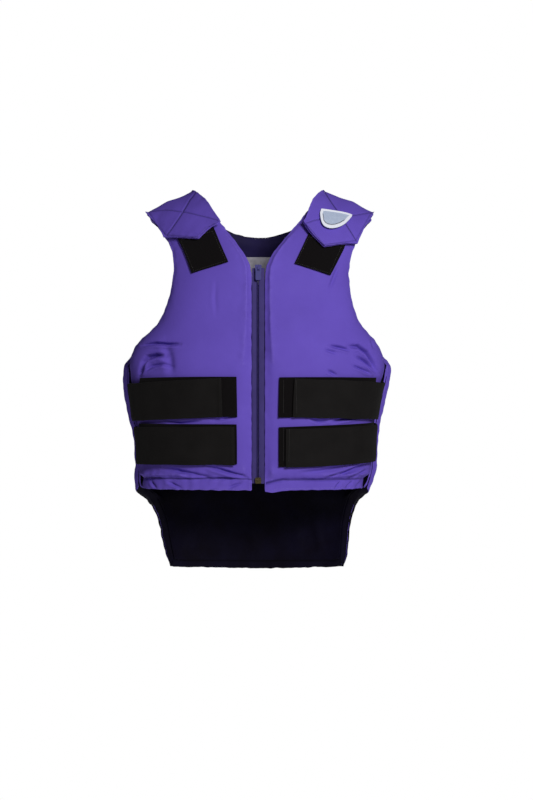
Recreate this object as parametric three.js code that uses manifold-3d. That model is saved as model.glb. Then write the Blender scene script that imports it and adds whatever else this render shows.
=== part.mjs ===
// Equestrian body protector: a zip-front padded riding vest, in the shape it has when worn. Millimetres.
// +Z is up, the chest faces -Y and the wearer's left is +X. The origin lies midway between the two
// shoulder straps, level with their undersides, which rest on the wearer's shoulders.
import * as THREE from "three";
import { mergeVertices } from "three/addons/utils/BufferGeometryUtils.js";
import Module from "manifold-3d";

const wasm = await Module();
wasm.setup();

// Body of the vest. Widths and depths are measured to the seam line in the middle of the padding.
const FRONT_LENGTH = 431;
const BACK_LENGTH = 556;
const CHEST_HALF_WIDTH = 188;
const WING_HALF_WIDTH = 200;
const TAIL_HALF_WIDTH = 139;
const NECK_HALF_WIDTH = 98;
const SHOULDER_HALF_WIDTH = 172;
const FRONT_DEPTH = 112;
const BACK_DEPTH = 106;
const SHOULDER_RISE = 25;
const SHOULDER_DROP = 38;
const FRONT_PAD = 19;
const BACK_PAD = 18;
const SEAM_THICKNESS = 4;
const EDGE_ROUND = 16;
const ZIP_EDGE_ROUND = 9;
const STRAP_END_SHARE = 0.12; // each shoulder strap stops this share of a row short of the ridge

// Zip fastener.
const ZIP_OPENING = 19;
const ZIP_ABOVE_HEM = 18;
const TAPE_THICKNESS = 1;
const CHAIN_WIDTH = 6.4;
const CHAIN_THICKNESS = 2.4;
const TAPE_GAP_AT_CHAIN = 1.4;
const SLIDER_WIDTH = 10;
const SLIDER_LENGTH = 13;
const SLIDER_PLATE = 1.3;
const SLIDER_TOP = 87;
const SLIDER_WEDGE = 3.5;
const SLIDER_CORNER = 1.5;
const PULL_WIDTH = 8;
const PULL_LENGTH = 18;
const PULL_THICKNESS = 1.6;
const PULL_BAR_RADIUS = 0.7;
const PULL_WINDOW = 3.8;
const PULL_CORNER = 2;
const BRIDGE_WIDTH = 2;
const BRIDGE_PLAY = 0.8; // slack of the bar along the bridge
const BRIDGE_WALL = 1;
const BOX_WIDTH = 9;
const BOX_LENGTH = 9;
const BOX_THICKNESS = 4;

// Straps, loop patches, flaps, label and badge.
const CLEARANCE = 0.3;
const WRAP_GAP = 1.05; // between layers that are wrapped around the body
const LOOP_THICKNESS = 1.3;
const ELASTIC_THICKNESS = 2.2;
const SIDE_STRAP_WIDTH = 58;
const SIDE_LOOP_START = 31;
const SIDE_LOOP_WIDTH = 60;
const SIDE_RUN_END = 0.93; // share of a row at which a side strap leaves the front panel
const WING_TUCK_START = 0.975;
const WING_TUCK_END = 0.92;
const SHOULDER_LOOP_WIDTH = 55;
const SHOULDER_LOOP_LENGTH = 64;
const SHOULDER_LOOP_FOOT_X = 81;
const SHOULDER_LOOP_FOOT_DOWN = 87;
const SHOULDER_LOOP_LEAN = 24; // degrees from the vertical, in the front view
const SHOULDER_LOOP_CANT = 18; // degrees from the horizontal, of the patch's lower edge
const FLAP_THICKNESS = 7;
const FLAP_EDGE = 6;
const FLAP_ROUND = 5;
const FLAP_REAR = 1.3; // rows behind the ridge at which a flap is sewn on
const FLAP_OVERHANG = -0.02;
const FLAP_STITCH_WIDTH = 5;
const FLAP_QUILT_DEPTH = 1.2;
const LINING_THICKNESS = 1.2;
const LINING_INSET = 0.03;
const LINING_INSET_ROWS = 1;
const LABEL_WIDTH = 60;
const LABEL_HEIGHT = 44;
const LABEL_TOP = 60;
const LABEL_THICKNESS = 1;
const BADGE_WIDTH = 36;
const BADGE_DEPTH = 31;
const BADGE_THICKNESS = 1.4;
const BADGE_TIP_SHARE = 0.97;
const BADGE_MIDDLE_SHARE = 0.43; // across the flap
const BADGE_NECK_ROWS = 1.52; // rows below the ridge of the straight edge's end near the neck
const BADGE_ARM_ROWS = 1.29; // and of its other end

const FRONT_COLUMNS = 12;
const BACK_COLUMNS = 10;

// Rows of a front panel, from the hem up to the start of the neckline. down is the height below the
// origin as a share of FRONT_LENGTH, wide the side or armhole edge as a share of CHEST_HALF_WIDTH,
// depth and side the depth at the zip and at that edge as shares of FRONT_DEPTH, drop how much
// lower that edge lies as a share of SHOULDER_DROP, full how round the row is, pad the padding as a
// share of FRONT_PAD, and steps the number of strips up to the next row, if not one.
const FRONT_ROWS = [
  { down: 1.0, wide: 0.894, depth: 0.95, side: 0.13, full: 1.06, pad: 0.42 },
  { down: 0.972, wide: 0.892, depth: 0.949, side: 0.13, full: 1.06, pad: 0.42 },
  { down: 0.956, wide: 0.886, depth: 0.948, side: 0.13, full: 1.06, pad: 0.3 },
  { down: 0.935, wide: 0.9, depth: 0.95, side: 0.13, full: 1.07, pad: 1.0, steps: 2 },
  { down: 0.87, wide: 0.908, depth: 0.955, side: 0.13, full: 1.07, pad: 0.95, steps: 2 },
  { down: 0.79, wide: 0.914, depth: 0.965, side: 0.13, full: 1.07, pad: 0.92 },
  { down: 0.738, wide: 0.928, depth: 0.975, side: 0.13, full: 1.08, pad: 1.02 },
  { down: 0.69, wide: 0.948, depth: 0.985, side: 0.13, full: 1.08, pad: 0.92, steps: 2 },
  { down: 0.61, wide: 0.975, depth: 0.995, side: 0.13, full: 1.08, pad: 0.98 },
  { down: 0.575, wide: 1.0, depth: 1.0, side: 0.14, full: 1.08, pad: 1.03 },
  { down: 0.543, wide: 1.0, depth: 1.0, side: 0.17, full: 1.08, pad: 1.08 },
  { down: 0.501, wide: 0.958, depth: 1.0, side: 0.23, full: 1.06, pad: 1.08 },
  { down: 0.466, wide: 0.9, depth: 1.0, side: 0.34, full: 1.02, pad: 1.04 },
  { down: 0.43, wide: 0.814, depth: 1.0, side: 0.46, full: 0.96, pad: 1.0 },
  { down: 0.394, wide: 0.765, depth: 0.997, side: 0.53, full: 0.9, pad: 1.0, steps: 2 },
  { down: 0.325, wide: 0.712, depth: 0.985, side: 0.58, full: 0.84, pad: 1.0, steps: 2 },
  { down: 0.255, wide: 0.69, depth: 0.955, side: 0.585, drop: 0.05, full: 0.78, pad: 0.96 },
  { down: 0.204, wide: 0.683, depth: 0.91, side: 0.56, drop: 0.12, full: 0.72, pad: 0.92 },
];

// Rows of a shoulder strap. rise is the height of the neck edge as a share of SHOULDER_RISE, neck and
// arm the neck and armhole edges as shares of NECK_HALF_WIDTH and SHOULDER_HALF_WIDTH, depth and side
// their depths as shares of the panel's depth, and sag how far the row hangs through between them, as
// a share of SHOULDER_DROP. The last row of the front table is the ridge.
const FRONT_STRAP_ROWS = [
  { rise: -2.64, neck: 0.225, arm: 0.762, depth: 0.86, side: 0.535, drop: 0.27, full: 0.62, pad: 0.86 },
  { rise: -1.68, neck: 0.42, arm: 0.796, depth: 0.755, side: 0.475, drop: 0.45, full: 0.54, pad: 0.8 },
  { rise: -0.56, neck: 0.645, arm: 0.85, depth: 0.59, side: 0.385, drop: 0.69, full: 0.44, pad: 0.72 },
  { rise: 0.35, neck: 0.82, arm: 0.9, depth: 0.38, side: 0.25, drop: 0.87, full: 0.28, pad: 0.66, steps: 2 },
  { rise: 0.91, neck: 1, arm: 1, depth: 0, side: 0, drop: 0.84, sag: 0.1, full: 0.05, pad: 0.64, steps: 2 },
];
const BACK_STRAP_ROWS = [
  { rise: 0.4, neck: 0.88, arm: 0.91, depth: 0.4, side: 0.26, drop: 0.9, full: 0.28, pad: 0.68 },
  { rise: -0.44, neck: 0.68, arm: 0.862, depth: 0.67, side: 0.4, drop: 0.74, full: 0.44, pad: 0.76 },
  { rise: -0.92, neck: 0.46, arm: 0.828, depth: 0.81, side: 0.48, drop: 0.67, full: 0.52, pad: 0.82 },
];

// Rows of half the back panel, from the neckline down to the end of the tail, as in FRONT_ROWS but with
// down as a share of BACK_LENGTH, wide of WING_HALF_WIDTH and the depths of BACK_DEPTH. tail is the
// share of the edge's width that follows TAIL_HALF_WIDTH instead, and strapped marks the wing's rows
// that the side straps are sewn into.
const BACK_ROWS = [
  { down: 0.062, wide: 0.694, depth: 0.87, side: 0.56, drop: 0.5, full: 0.6, pad: 0.88 },
  { down: 0.11, wide: 0.683, depth: 0.93, side: 0.64, drop: 0.22, full: 0.7, pad: 0.94 },
  { down: 0.18, wide: 0.672, depth: 0.975, side: 0.7, drop: 0.05, full: 0.76, pad: 1.0, steps: 2 },
  { down: 0.26, wide: 0.7, depth: 0.995, side: 0.7, full: 0.82, pad: 1.0 },
  { down: 0.325, wide: 0.768, depth: 1.0, side: 0.62, full: 0.9, pad: 1.0 },
  { down: 0.37, wide: 0.88, depth: 0.995, side: 0.44, full: 0.98, pad: 1.0 },
  { down: 0.402, wide: 0.95, depth: 0.985, side: 0.2, full: 1.04, pad: 1.0 },
  { down: 0.425, wide: 1.0, depth: 0.975, side: 0.03, full: 1.06, pad: 1.0, strapped: true },
  { down: 0.455, wide: 1.003, depth: 0.96, side: 0.01, full: 1.06, pad: 1.0, strapped: true, steps: 2 },
  { down: 0.535, wide: 0.963, depth: 0.92, side: 0.01, full: 1.06, pad: 1.0, strapped: true, steps: 2 },
  { down: 0.61, wide: 0.915, depth: 0.89, side: 0.01, full: 1.06, pad: 1.0, strapped: true, steps: 2 },
  { down: 0.685, wide: 0.9, depth: 0.88, side: 0.01, full: 1.06, pad: 1.0, strapped: true },
  { down: 0.738, wide: 0.9, depth: 0.885, side: 0.02, full: 1.06, pad: 1.0, strapped: true },
  { down: 0.77, wide: 0.87, depth: 0.89, side: 0.07, full: 1.05, pad: 1.0 },
  { down: 0.793, wide: 0.795, depth: 0.9, side: 0.27, full: 1.02, pad: 0.96 },
  { down: 0.818, wide: 0.768, depth: 0.91, side: 0.42, full: 1.0, pad: 0.92 },
  { down: 0.854, wide: 0.733, depth: 0.93, side: 0.53, full: 0.96, pad: 0.9 },
  { down: 0.892, wide: 0, tail: 1.04, depth: 0.955, side: 0.59, full: 0.93, pad: 0.88 },
  { down: 0.94, wide: 0, tail: 1.015, depth: 0.985, side: 0.64, full: 0.9, pad: 0.86, steps: 2 },
  { down: 1.0, wide: 0, tail: 0.98, depth: 1.02, side: 0.69, drop: -0.16, full: 0.88, pad: 0.8 },
];

// Main folds of the front shell, in the front view. x is a share of CHEST_HALF_WIDTH and down of
// FRONT_LENGTH, at both ends; depth (negative is a ridge) and width are shares of FRONT_PAD.
const FRONT_FOLDS = [
  { x0: 0.6, down0: 0.462, x1: 0.99, down1: 0.585, depth: 0.3, width: 0.55 },
  { x0: 0.82, down0: 0.44, x1: 1.04, down1: 0.53, depth: -0.16, width: 0.6 },
  { x0: 0.35, down0: 0.93, x1: 0.86, down1: 0.9, depth: 0.2, width: 0.5 },
];

// The adjustable ends, as they are fastened. end is where the strap ends, as a share of
// CHEST_HALF_WIDTH; level is its middle there and side its middle at the side, loop and loopSide the
// same for the patch under it, as shares of FRONT_LENGTH.
const SIDE_STRAPS = [
  { name: "upper_right", hand: -1, end: 0.277, level: 0.659, side: 0.673, loop: 0.657, loopSide: 0.652 },
  { name: "lower_right", hand: -1, end: 0.181, level: 0.826, side: 0.828, loop: 0.821, loopSide: 0.817 },
  { name: "upper_left", hand: 1, end: 0.282, level: 0.661, side: 0.664, loop: 0.659, loopSide: 0.65 },
  { name: "lower_left", hand: 1, end: 0.218, level: 0.835, side: 0.817, loop: 0.831, loopSide: 0.812 },
];
// neck and arm are where the flap's corners lie on the front, and point how far its tip reaches past
// them, in rows of the strap; shift slides the flap outwards, as a share of its width.
const SHOULDER_FLAPS = [
  { name: "right", hand: -1, neck: 2.0, arm: 2.25, point: 0.75, shift: 0.01 },
  { name: "left", hand: 1, neck: 2.15, arm: 2.6, point: 1.0, shift: 0.0 },
];

const COLOURS = {
  shell: { color: 0x6a55b8, roughness: 0.55 },
  lining: { color: 0x1c1838, roughness: 0.6 },
  elastic: { color: 0x171615, roughness: 0.85 },
  loop: { color: 0x0f0e0f, roughness: 0.95 },
  tape: { color: 0x453a7d, roughness: 0.7 },
  chain: { color: 0x2c2560, roughness: 0.4 },
  slider: { color: 0x3a3480, roughness: 0.35 },
  brass: { color: 0x6b5f36, roughness: 0.4, metalness: 0.9 },
  label: { color: 0xb9b6bd, roughness: 0.7 },
  badge: { color: 0xe4e6f2, roughness: 0.7 },
};

const ZIP_EDGE = ZIP_OPENING / 2;
const ZIP_BOTTOM = FRONT_LENGTH - ZIP_ABOVE_HEM;
const STRAP_LIFT = WRAP_GAP + LOOP_THICKNESS + WRAP_GAP;

// The whole shell as one list of rows, from the front hem over the shoulder to the end of the tail.
function shellRows() {
  const rowOf = (row, forward, inner, outer) => ({
    inner: new THREE.Vector3(...inner),
    outer: new THREE.Vector3(...outer),
    full: row.full,
    sag: (row.sag ?? 0) * SHOULDER_DROP,
    pad: row.pad * (forward < 0 ? FRONT_PAD : BACK_PAD),
    lined: BACK_COLUMNS - (row.strapped ? 2 : 1),
    steps: row.steps ?? 1,
  });
  const strapRow = (row, depth, forward) => {
    const height = row.rise * SHOULDER_RISE;
    const inner = [row.neck * NECK_HALF_WIDTH, forward * row.depth * depth, height];
    const low = height - row.drop * SHOULDER_DROP;
    return rowOf(row, forward, inner, [row.arm * SHOULDER_HALF_WIDTH, forward * row.side * depth, low]);
  };
  const bodyRow = (row, length, innerX, outerX, depth, forward) => {
    const height = -row.down * length;
    const low = height - (row.drop ?? 0) * SHOULDER_DROP;
    const inner = [innerX, forward * row.depth * depth, height];
    return rowOf(row, forward, inner, [outerX, forward * row.side * depth, low]);
  };
  return [
    ...FRONT_ROWS.map((row) => {
      const edge = row.wide * CHEST_HALF_WIDTH;
      return bodyRow(row, FRONT_LENGTH, ZIP_EDGE, edge, FRONT_DEPTH, -1);
    }),
    ...FRONT_STRAP_ROWS.map((row) => strapRow(row, FRONT_DEPTH, -1)),
    ...BACK_STRAP_ROWS.map((row) => strapRow(row, BACK_DEPTH, 1)),
    ...BACK_ROWS.map((row) => {
      const edge = row.wide * WING_HALF_WIDTH + (row.tail ?? 0) * TAIL_HALF_WIDTH;
      return bodyRow(row, BACK_LENGTH, 0, edge, BACK_DEPTH, 1);
    }),
  ];
}
const ROWS = shellRows();
const RIDGE = FRONT_ROWS.length + FRONT_STRAP_ROWS.length - 1;
const BACK_NECK = RIDGE + BACK_STRAP_ROWS.length + 1;
const LAST_ROW = ROWS.length - 1;
const FRONT_TOP = RIDGE - STRAP_END_SHARE;
const BACK_TOP = RIDGE + STRAP_END_SHARE;
const UNDERARM_ROW = FRONT_ROWS.length - 4;

// A smooth value between rows: value(row) is read at the four rows around v.
function along(v, value) {
  const i = THREE.MathUtils.clamp(Math.floor(v), 0, LAST_ROW - 1);
  const t = v - i;
  const at = (k) => value(ROWS[THREE.MathUtils.clamp(k, 0, LAST_ROW)]);
  const [a, b, c, d] = [at(i - 1), at(i), at(i + 1), at(i + 2)];
  const slopeB = (c - a) / 2;
  const slopeC = (d - b) / 2;
  const blend = t * t * (3 - 2 * t);
  return b * (1 - blend) + c * blend + slopeB * t * (t - 1) ** 2 + slopeC * t * t * (t - 1);
}

// A point of the shell's middle surface, on the wearer's left. u runs across from the zip, neck or
// centre line (0) to the side or armhole edge (1), and straight on past it.
function middle(u, v) {
  if (u > 1) {
    const edge = middle(1, v);
    const before = middle(0.98, v);
    return edge.clone().addScaledVector(edge.clone().sub(before), (u - 1) / 0.02);
  }
  const full = along(v, (row) => row.full);
  const acrossX = THREE.MathUtils.lerp(u, Math.sin((u * Math.PI) / 2), full);
  const acrossY = THREE.MathUtils.lerp(u, 1 - Math.cos((u * Math.PI) / 2), full);
  const between = (axis, share) =>
    THREE.MathUtils.lerp(
      along(v, (row) => row.inner[axis]),
      along(v, (row) => row.outer[axis]),
      share,
    );
  const sag = along(v, (row) => row.sag) * Math.sin(u * Math.PI);
  return new THREE.Vector3(between("x", acrossX), between("y", acrossY), between("z", u) - sag);
}

// The outward direction of the middle surface.
function outward(u, v) {
  const step = 0.01;
  const across = middle(u + step, v).sub(middle(u - step, v));
  const up = middle(u, Math.min(v + step, LAST_ROW)).sub(middle(u, Math.max(v - step, 0)));
  return across.cross(up).normalize();
}

// Rows further apart than this are past the rounding of an edge.
const FAR_ROWS = 4;

// Arc lengths of the shell: across row v, and along the middle column from row a to row b.
function rowLength(v) {
  const stops = [0, 0.25, 0.5, 0.75, 1].map((u) => middle(u, v));
  return stops.slice(1).reduce((sum, stop, k) => sum + stop.distanceTo(stops[k]), 0);
}
function columnLength(a, b) {
  if (b - a > FAR_ROWS) return Infinity;
  const parts = Math.max(1, Math.ceil(Math.abs(b - a) * 2));
  let sum = 0;
  for (let k = 0; k < parts; k++) {
    const from = middle(0.5, THREE.MathUtils.lerp(a, b, k / parts));
    sum += from.distanceTo(middle(0.5, THREE.MathUtils.lerp(a, b, (k + 1) / parts)));
  }
  return sum;
}

// How full the padding is at a distance from a seam: 0 on it, 1 past the rounding.
function edgeFill(distance, round) {
  const left = 1 - THREE.MathUtils.clamp(distance / round, 0, 1);
  return Math.sqrt(1 - left * left);
}

// The padding's thickness at (u, v) of a panel that spans rows from..to.
function padThickness(u, v, panel) {
  const pad = along(v, (row) => row.pad);
  const length = rowLength(v);
  const fills = [
    panel.innerRound(v) ? edgeFill(u * length, panel.innerRound(v)) : 1,
    edgeFill((1 - u) * length, EDGE_ROUND),
    edgeFill(columnLength(panel.from, v), EDGE_ROUND),
    edgeFill(columnLength(v, panel.to), EDGE_ROUND),
  ];
  const fill = fills.reduce((product, share) => product * share, 1);
  return SEAM_THICKNESS + Math.max(pad - SEAM_THICKNESS, 0) * fill;
}

// How far the shell is drawn in at a point by the main folds of the front.
function foldDepth(point) {
  let total = 0;
  for (const fold of FRONT_FOLDS) {
    const start = new THREE.Vector2(fold.x0 * CHEST_HALF_WIDTH, -fold.down0 * FRONT_LENGTH);
    const end = new THREE.Vector2(fold.x1 * CHEST_HALF_WIDTH, -fold.down1 * FRONT_LENGTH);
    const line = end.clone().sub(start);
    const from = new THREE.Vector2(point.x, point.z).sub(start);
    const share = THREE.MathUtils.clamp(from.dot(line) / line.lengthSq(), 0, 1);
    const away = from.distanceTo(line.clone().multiplyScalar(share)) / (fold.width * FRONT_PAD);
    total += fold.depth * FRONT_PAD * Math.exp(-away * away) * Math.sin(Math.PI * (0.15 + 0.7 * share));
  }
  return total;
}

const FRONT = { from: 0, to: FRONT_TOP, innerRound: () => ZIP_EDGE_ROUND, folded: true };
const neckRound = (v) => (v < BACK_NECK ? EDGE_ROUND : 0);
const BACK = { from: BACK_TOP, to: LAST_ROW, innerRound: neckRound, folded: false };

// A point of a panel's outer (face 1) or inner (face -1) skin, lifted off it by lift. What is lifted
// bridges the folds that are drawn in, and rises over those that stand out.
function skin(panel, face, u, v, lift = 0) {
  const centre = middle(u, v);
  const half = padThickness(u, v, panel) / 2;
  const deepest = lift > 0 ? 0 : half - SEAM_THICKNESS / 2;
  const drawn = panel.folded && face > 0 ? Math.min(foldDepth(centre), deepest) : 0;
  return centre.addScaledVector(outward(u, v), face * (half - drawn + lift));
}

// The (u, v) at which a face of a panel has the place (x, z) of the front view.
function viewToPanel(panel, face, x, z) {
  let u = 0.5;
  let v = panel.from;
  for (let k = 0, best = Infinity; k <= 80; k++) {
    const row = THREE.MathUtils.lerp(panel.from, panel.to, k / 80);
    const miss = Math.abs(middle(u, row).z - z);
    if (miss < best) [best, v] = [miss, row];
  }
  const step = 0.01;
  for (let k = 0; k < 15; k++) {
    const here = skin(panel, face, u, v);
    const byU = skin(panel, face, u + step, v).sub(here).divideScalar(step);
    const byV = skin(panel, face, u, v + step).sub(here).divideScalar(step);
    const missX = x - here.x;
    const missZ = z - here.z;
    const scale = byU.x * byV.z - byU.z * byV.x;
    u = THREE.MathUtils.clamp(u + (missX * byV.z - missZ * byV.x) / scale, 0, 0.98);
    v = THREE.MathUtils.clamp(v + (missZ * byU.x - missX * byU.z) / scale, panel.from, panel.to - step);
  }
  return { u, v };
}

// The row at which the middle surface passes height z, searched between rows a and b.
function rowAtHeight(u, z, a, b) {
  const falling = middle(u, a).z > middle(u, b).z;
  for (let k = 0; k < 40; k++) {
    const mid = (a + b) / 2;
    if (middle(u, mid).z > z === falling) a = mid;
    else b = mid;
  }
  return (a + b) / 2;
}

// A closed solid between an outer and an inner sheet of points, given as functions of the column
// 0..columns and the line 0..lines. Where welded(line) holds, the side at column 0 has no rim. Cells
// are split along alternate diagonals, the first one set by shift.
function wall(columns, lines, outer, inner, welded = () => false, shift = 0) {
  const points = [];
  for (const sheet of [outer, inner]) {
    for (let j = 0; j <= lines; j++) for (let i = 0; i <= columns; i++) points.push(sheet(i, j));
  }
  const index = (sheet, i, j) => (sheet * (lines + 1) + j) * (columns + 1) + i;
  const faces = [];
  const quad = (a, b, c, d) => faces.push(a, b, c, a, c, d);
  const quadOtherWay = (a, b, c, d) => faces.push(a, b, d, b, c, d);
  for (let j = 0; j < lines; j++) {
    for (let i = 0; i < columns; i++) {
      const draw = (i + j + shift) % 2 ? quad : quadOtherWay;
      draw(index(0, i, j), index(0, i + 1, j), index(0, i + 1, j + 1), index(0, i, j + 1));
      draw(index(1, i, j), index(1, i, j + 1), index(1, i + 1, j + 1), index(1, i + 1, j));
    }
  }
  for (let j = 0; j < lines; j++) {
    if (!welded(j)) quad(index(1, 0, j), index(0, 0, j), index(0, 0, j + 1), index(1, 0, j + 1));
    quad(index(0, columns, j), index(1, columns, j), index(1, columns, j + 1), index(0, columns, j + 1));
  }
  for (let i = 0; i < columns; i++) {
    quad(index(1, i, 0), index(1, i + 1, 0), index(0, i + 1, 0), index(0, i, 0));
    quad(index(0, i, lines), index(0, i + 1, lines), index(1, i + 1, lines), index(1, i, lines));
  }
  const geometry = new THREE.BufferGeometry().setFromPoints(points);
  geometry.setIndex(faces);
  return geometry;
}

// The same geometry for the wearer's other side.
function forHand(geometry, hand) {
  if (hand > 0) return geometry;
  const turned = geometry.clone().scale(-1, 1, 1);
  const faces = turned.index.array;
  for (let k = 0; k < faces.length; k += 3) [faces[k + 1], faces[k + 2]] = [faces[k + 2], faces[k + 1]];
  return turned;
}

// Both halves of a piece that meet on the centre line, as one geometry.
function bothHalves(half) {
  const other = forHand(half, -1);
  const count = half.getAttribute("position").count;
  const positions = [...half.getAttribute("position").array, ...other.getAttribute("position").array];
  const both = new THREE.BufferGeometry();
  both.setAttribute("position", new THREE.Float32BufferAttribute(positions, 3));
  both.setIndex([...half.index.array, ...Array.from(other.index.array, (k) => k + count)]);
  return mergeVertices(both, 1e-3);
}

// Row positions between rows a and b, as many as their steps ask for.
function stations(a, b) {
  const stops = [a];
  for (let k = Math.floor(a); k < b; k++) {
    for (let s = 1; s <= ROWS[k].steps; s++) {
      const stop = k + s / ROWS[k].steps;
      if (stop > a + 0.05 && stop < b - 0.05) stops.push(stop);
    }
  }
  return [...stops, b];
}

// Share across a panel of column i of n, closer together near the two edges.
function columnShare(i, n) {
  const even = i / n;
  return 0.35 * even + 0.65 * ((1 - Math.cos(Math.PI * even)) / 2);
}

const BAND_LINES = 3;
const BAND_CELL = 0.02; // least share of a row between two columns of a band

// Share across half a back panel of column i of n, closer together near the side.
function halfShare(i, n) {
  const even = i / n;
  return 0.4 * even + 0.6 * Math.sin((even * Math.PI) / 2);
}

function frontPanel() {
  const rows = stations(FRONT.from, FRONT.to);
  const sheet = (face) => (i, j) => skin(FRONT, face, columnShare(i, FRONT_COLUMNS), rows[j]);
  return wall(FRONT_COLUMNS, rows.length - 1, sheet(1), sheet(-1));
}

// Half a sheet along the back panel's rows. Below the neckline it meets its mirror image on the
// centre line. at(face, i, v) gives its outer (1) and inner (-1) points in column i.
function backHalf(columns, rows, at, shift = 0) {
  const sheet = (face) => (i, j) => {
    const point = at(face, i, rows[j]);
    return i === 0 && rows[j] >= BACK_NECK ? point.setX(0) : point;
  };
  return wall(columns, rows.length - 1, sheet(1), sheet(-1), (j) => rows[j] >= BACK_NECK, shift);
}

function backPanel() {
  const rows = stations(BACK.from, BACK.to);
  const at = (face, i, v) => skin(BACK, face, halfShare(i, BACK_COLUMNS), v);
  return bothHalves(backHalf(BACK_COLUMNS, rows, at));
}

// A thin sheet on the inside of the back panel, in the same columns and rows as the padding.
function backLining() {
  const rows = stations(BACK.from, BACK.to).slice(LINING_INSET_ROWS, -LINING_INSET_ROWS);
  const columns = BACK_COLUMNS - 2;
  const edge = (v) => halfShare(along(v, (row) => row.lined), BACK_COLUMNS);
  const at = (face, i, v) => {
    const inset = v < BACK_NECK ? LINING_INSET : 0;
    const u = i < columns ? Math.max(halfShare(i, BACK_COLUMNS), inset) : edge(v);
    return skin(BACK, -1, u, v, WRAP_GAP + (face < 0 ? LINING_THICKNESS : 0));
  };
  return bothHalves(backHalf(columns, rows, at, LINING_INSET_ROWS));
}

// A band laid on the front panel from x = end out to share SIDE_RUN_END of a row. Its middle runs from
// level at its end to side at the panel's edge, both as shares of FRONT_LENGTH. at(i, w, lift) is its
// point in column i, at share w of its width.
function frontBand(band) {
  const start = viewToPanel(FRONT, 1, band.end, -band.level * FRONT_LENGTH).u;
  const columns = Array.from({ length: FRONT_COLUMNS }, (_, i) => columnShare(i, FRONT_COLUMNS));
  const inside = columns.filter((u) => u > start + BAND_CELL && u < SIDE_RUN_END - BAND_CELL);
  const stops = [start, ...inside, SIDE_RUN_END];
  const at = (i, w, lift) => {
    const run = (stops[i] - start) / (SIDE_RUN_END - start);
    const middleDown = THREE.MathUtils.lerp(band.level, band.side, run) * FRONT_LENGTH;
    const z = (w - 0.5) * band.width - middleDown;
    return skin(FRONT, 1, stops[i], rowAtHeight(stops[i], z, 0, UNDERARM_ROW), lift);
  };
  return { last: stops.length - 1, at };
}

function sideLoop(strap) {
  const { loop: level, loopSide: side } = strap;
  const { last, at } = frontBand({ end: SIDE_LOOP_START, level, side, width: SIDE_LOOP_WIDTH });
  const sheet = (lift) => (i, j) => at(i, j / BAND_LINES, lift);
  return wall(last, BAND_LINES, sheet(WRAP_GAP + LOOP_THICKNESS), sheet(WRAP_GAP));
}

// The elastic runs over the loop patch to the front panel's side, bridges the gap at the side and
// ends inside the back panel's wing, to which it is sewn.
function sideStrap(strap) {
  const [bridge, tuck] = [2, 2];
  const { end, level, side } = strap;
  const { last, at } = frontBand({ end: end * CHEST_HALF_WIDTH, level, side, width: SIDE_STRAP_WIDTH });
  const inWing = (share, w, lift) => {
    const z = (w - 0.5) * SIDE_STRAP_WIDTH - side * FRONT_LENGTH;
    const u = THREE.MathUtils.lerp(WING_TUCK_START, WING_TUCK_END, share);
    return skin(BACK, -1, u, rowAtHeight(u, z, BACK_NECK, LAST_ROW), WRAP_GAP + ELASTIC_THICKNESS - lift);
  };
  const sheet = (lift) => (i, j) => {
    const w = j / BAND_LINES;
    if (i <= last) return at(i, w, STRAP_LIFT + lift);
    if (i >= last + bridge) return inWing((i - last - bridge) / tuck, w, lift);
    return at(last, w, STRAP_LIFT + lift).lerp(inWing(0, w, lift), (i - last) / bridge);
  };
  return wall(last + bridge + tuck, BAND_LINES, sheet(ELASTIC_THICKNESS), sheet(0));
}

// A rectangle of loop tape that leans outwards up the front shoulder and ends under the flap.
function shoulderLoop() {
  const [columns, lines] = [4, 5];
  const foot = new THREE.Vector2(SHOULDER_LOOP_FOOT_X, -SHOULDER_LOOP_FOOT_DOWN);
  const lean = THREE.MathUtils.degToRad(SHOULDER_LOOP_LEAN);
  const cant = THREE.MathUtils.degToRad(SHOULDER_LOOP_CANT);
  const across = new THREE.Vector2(Math.cos(cant), -Math.sin(cant));
  const up = new THREE.Vector2(Math.sin(lean), Math.cos(lean));
  const sheet = (lift) => (i, j) => {
    const place = foot.clone();
    place.addScaledVector(across, (i / columns - 0.5) * SHOULDER_LOOP_WIDTH);
    place.addScaledVector(up, (j / lines) * SHOULDER_LOOP_LENGTH);
    const { u, v } = viewToPanel(FRONT, 1, place.x, place.y);
    return skin(FRONT, 1, u, v, lift);
  };
  return wall(columns, lines, sheet(WRAP_GAP + LOOP_THICKNESS), sheet(WRAP_GAP));
}

// The skin that the flaps lie on: the front panel's, the back panel's and a bridge over the ridge.
function shoulderSkin(u, v, lift) {
  const pad = Math.max(along(v, (row) => row.pad), SEAM_THICKNESS);
  return middle(u, v).addScaledVector(outward(u, v), pad / 2 + lift);
}

// A point of a flap. a runs across it and b from its sewn edge behind the shoulder (0) over the ridge
// to its pointed front edge (1).
function flapRow(flap, a, b) {
  const corner = RIDGE - THREE.MathUtils.lerp(flap.neck, flap.arm, a);
  const tip = flap.point * (1 - Math.abs(2 * a - 1));
  return THREE.MathUtils.lerp(RIDGE + FLAP_REAR, corner - tip, b);
}
function flapThickness(flap, a, b) {
  const width = SHOULDER_HALF_WIDTH - NECK_HALF_WIDTH;
  const length = columnLength(flapRow(flap, a, 0), flapRow(flap, a, 1));
  const edge = Math.min(a * width, (1 - a) * width, b * length, (1 - b) * length);
  const ridge = FLAP_REAR / (RIDGE + FLAP_REAR - flapRow(flap, a, 1));
  const down = (b - ridge) / (1 - ridge);
  const toStitch = Math.min(Math.abs(down - a), Math.abs(down - 1 + a)) * width;
  const quilt = FLAP_QUILT_DEPTH * Math.exp(-((toStitch / FLAP_STITCH_WIDTH) ** 2));
  const fill = edgeFill(edge, FLAP_ROUND);
  return FLAP_EDGE + (FLAP_THICKNESS - FLAP_EDGE - quilt) * fill;
}
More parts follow.
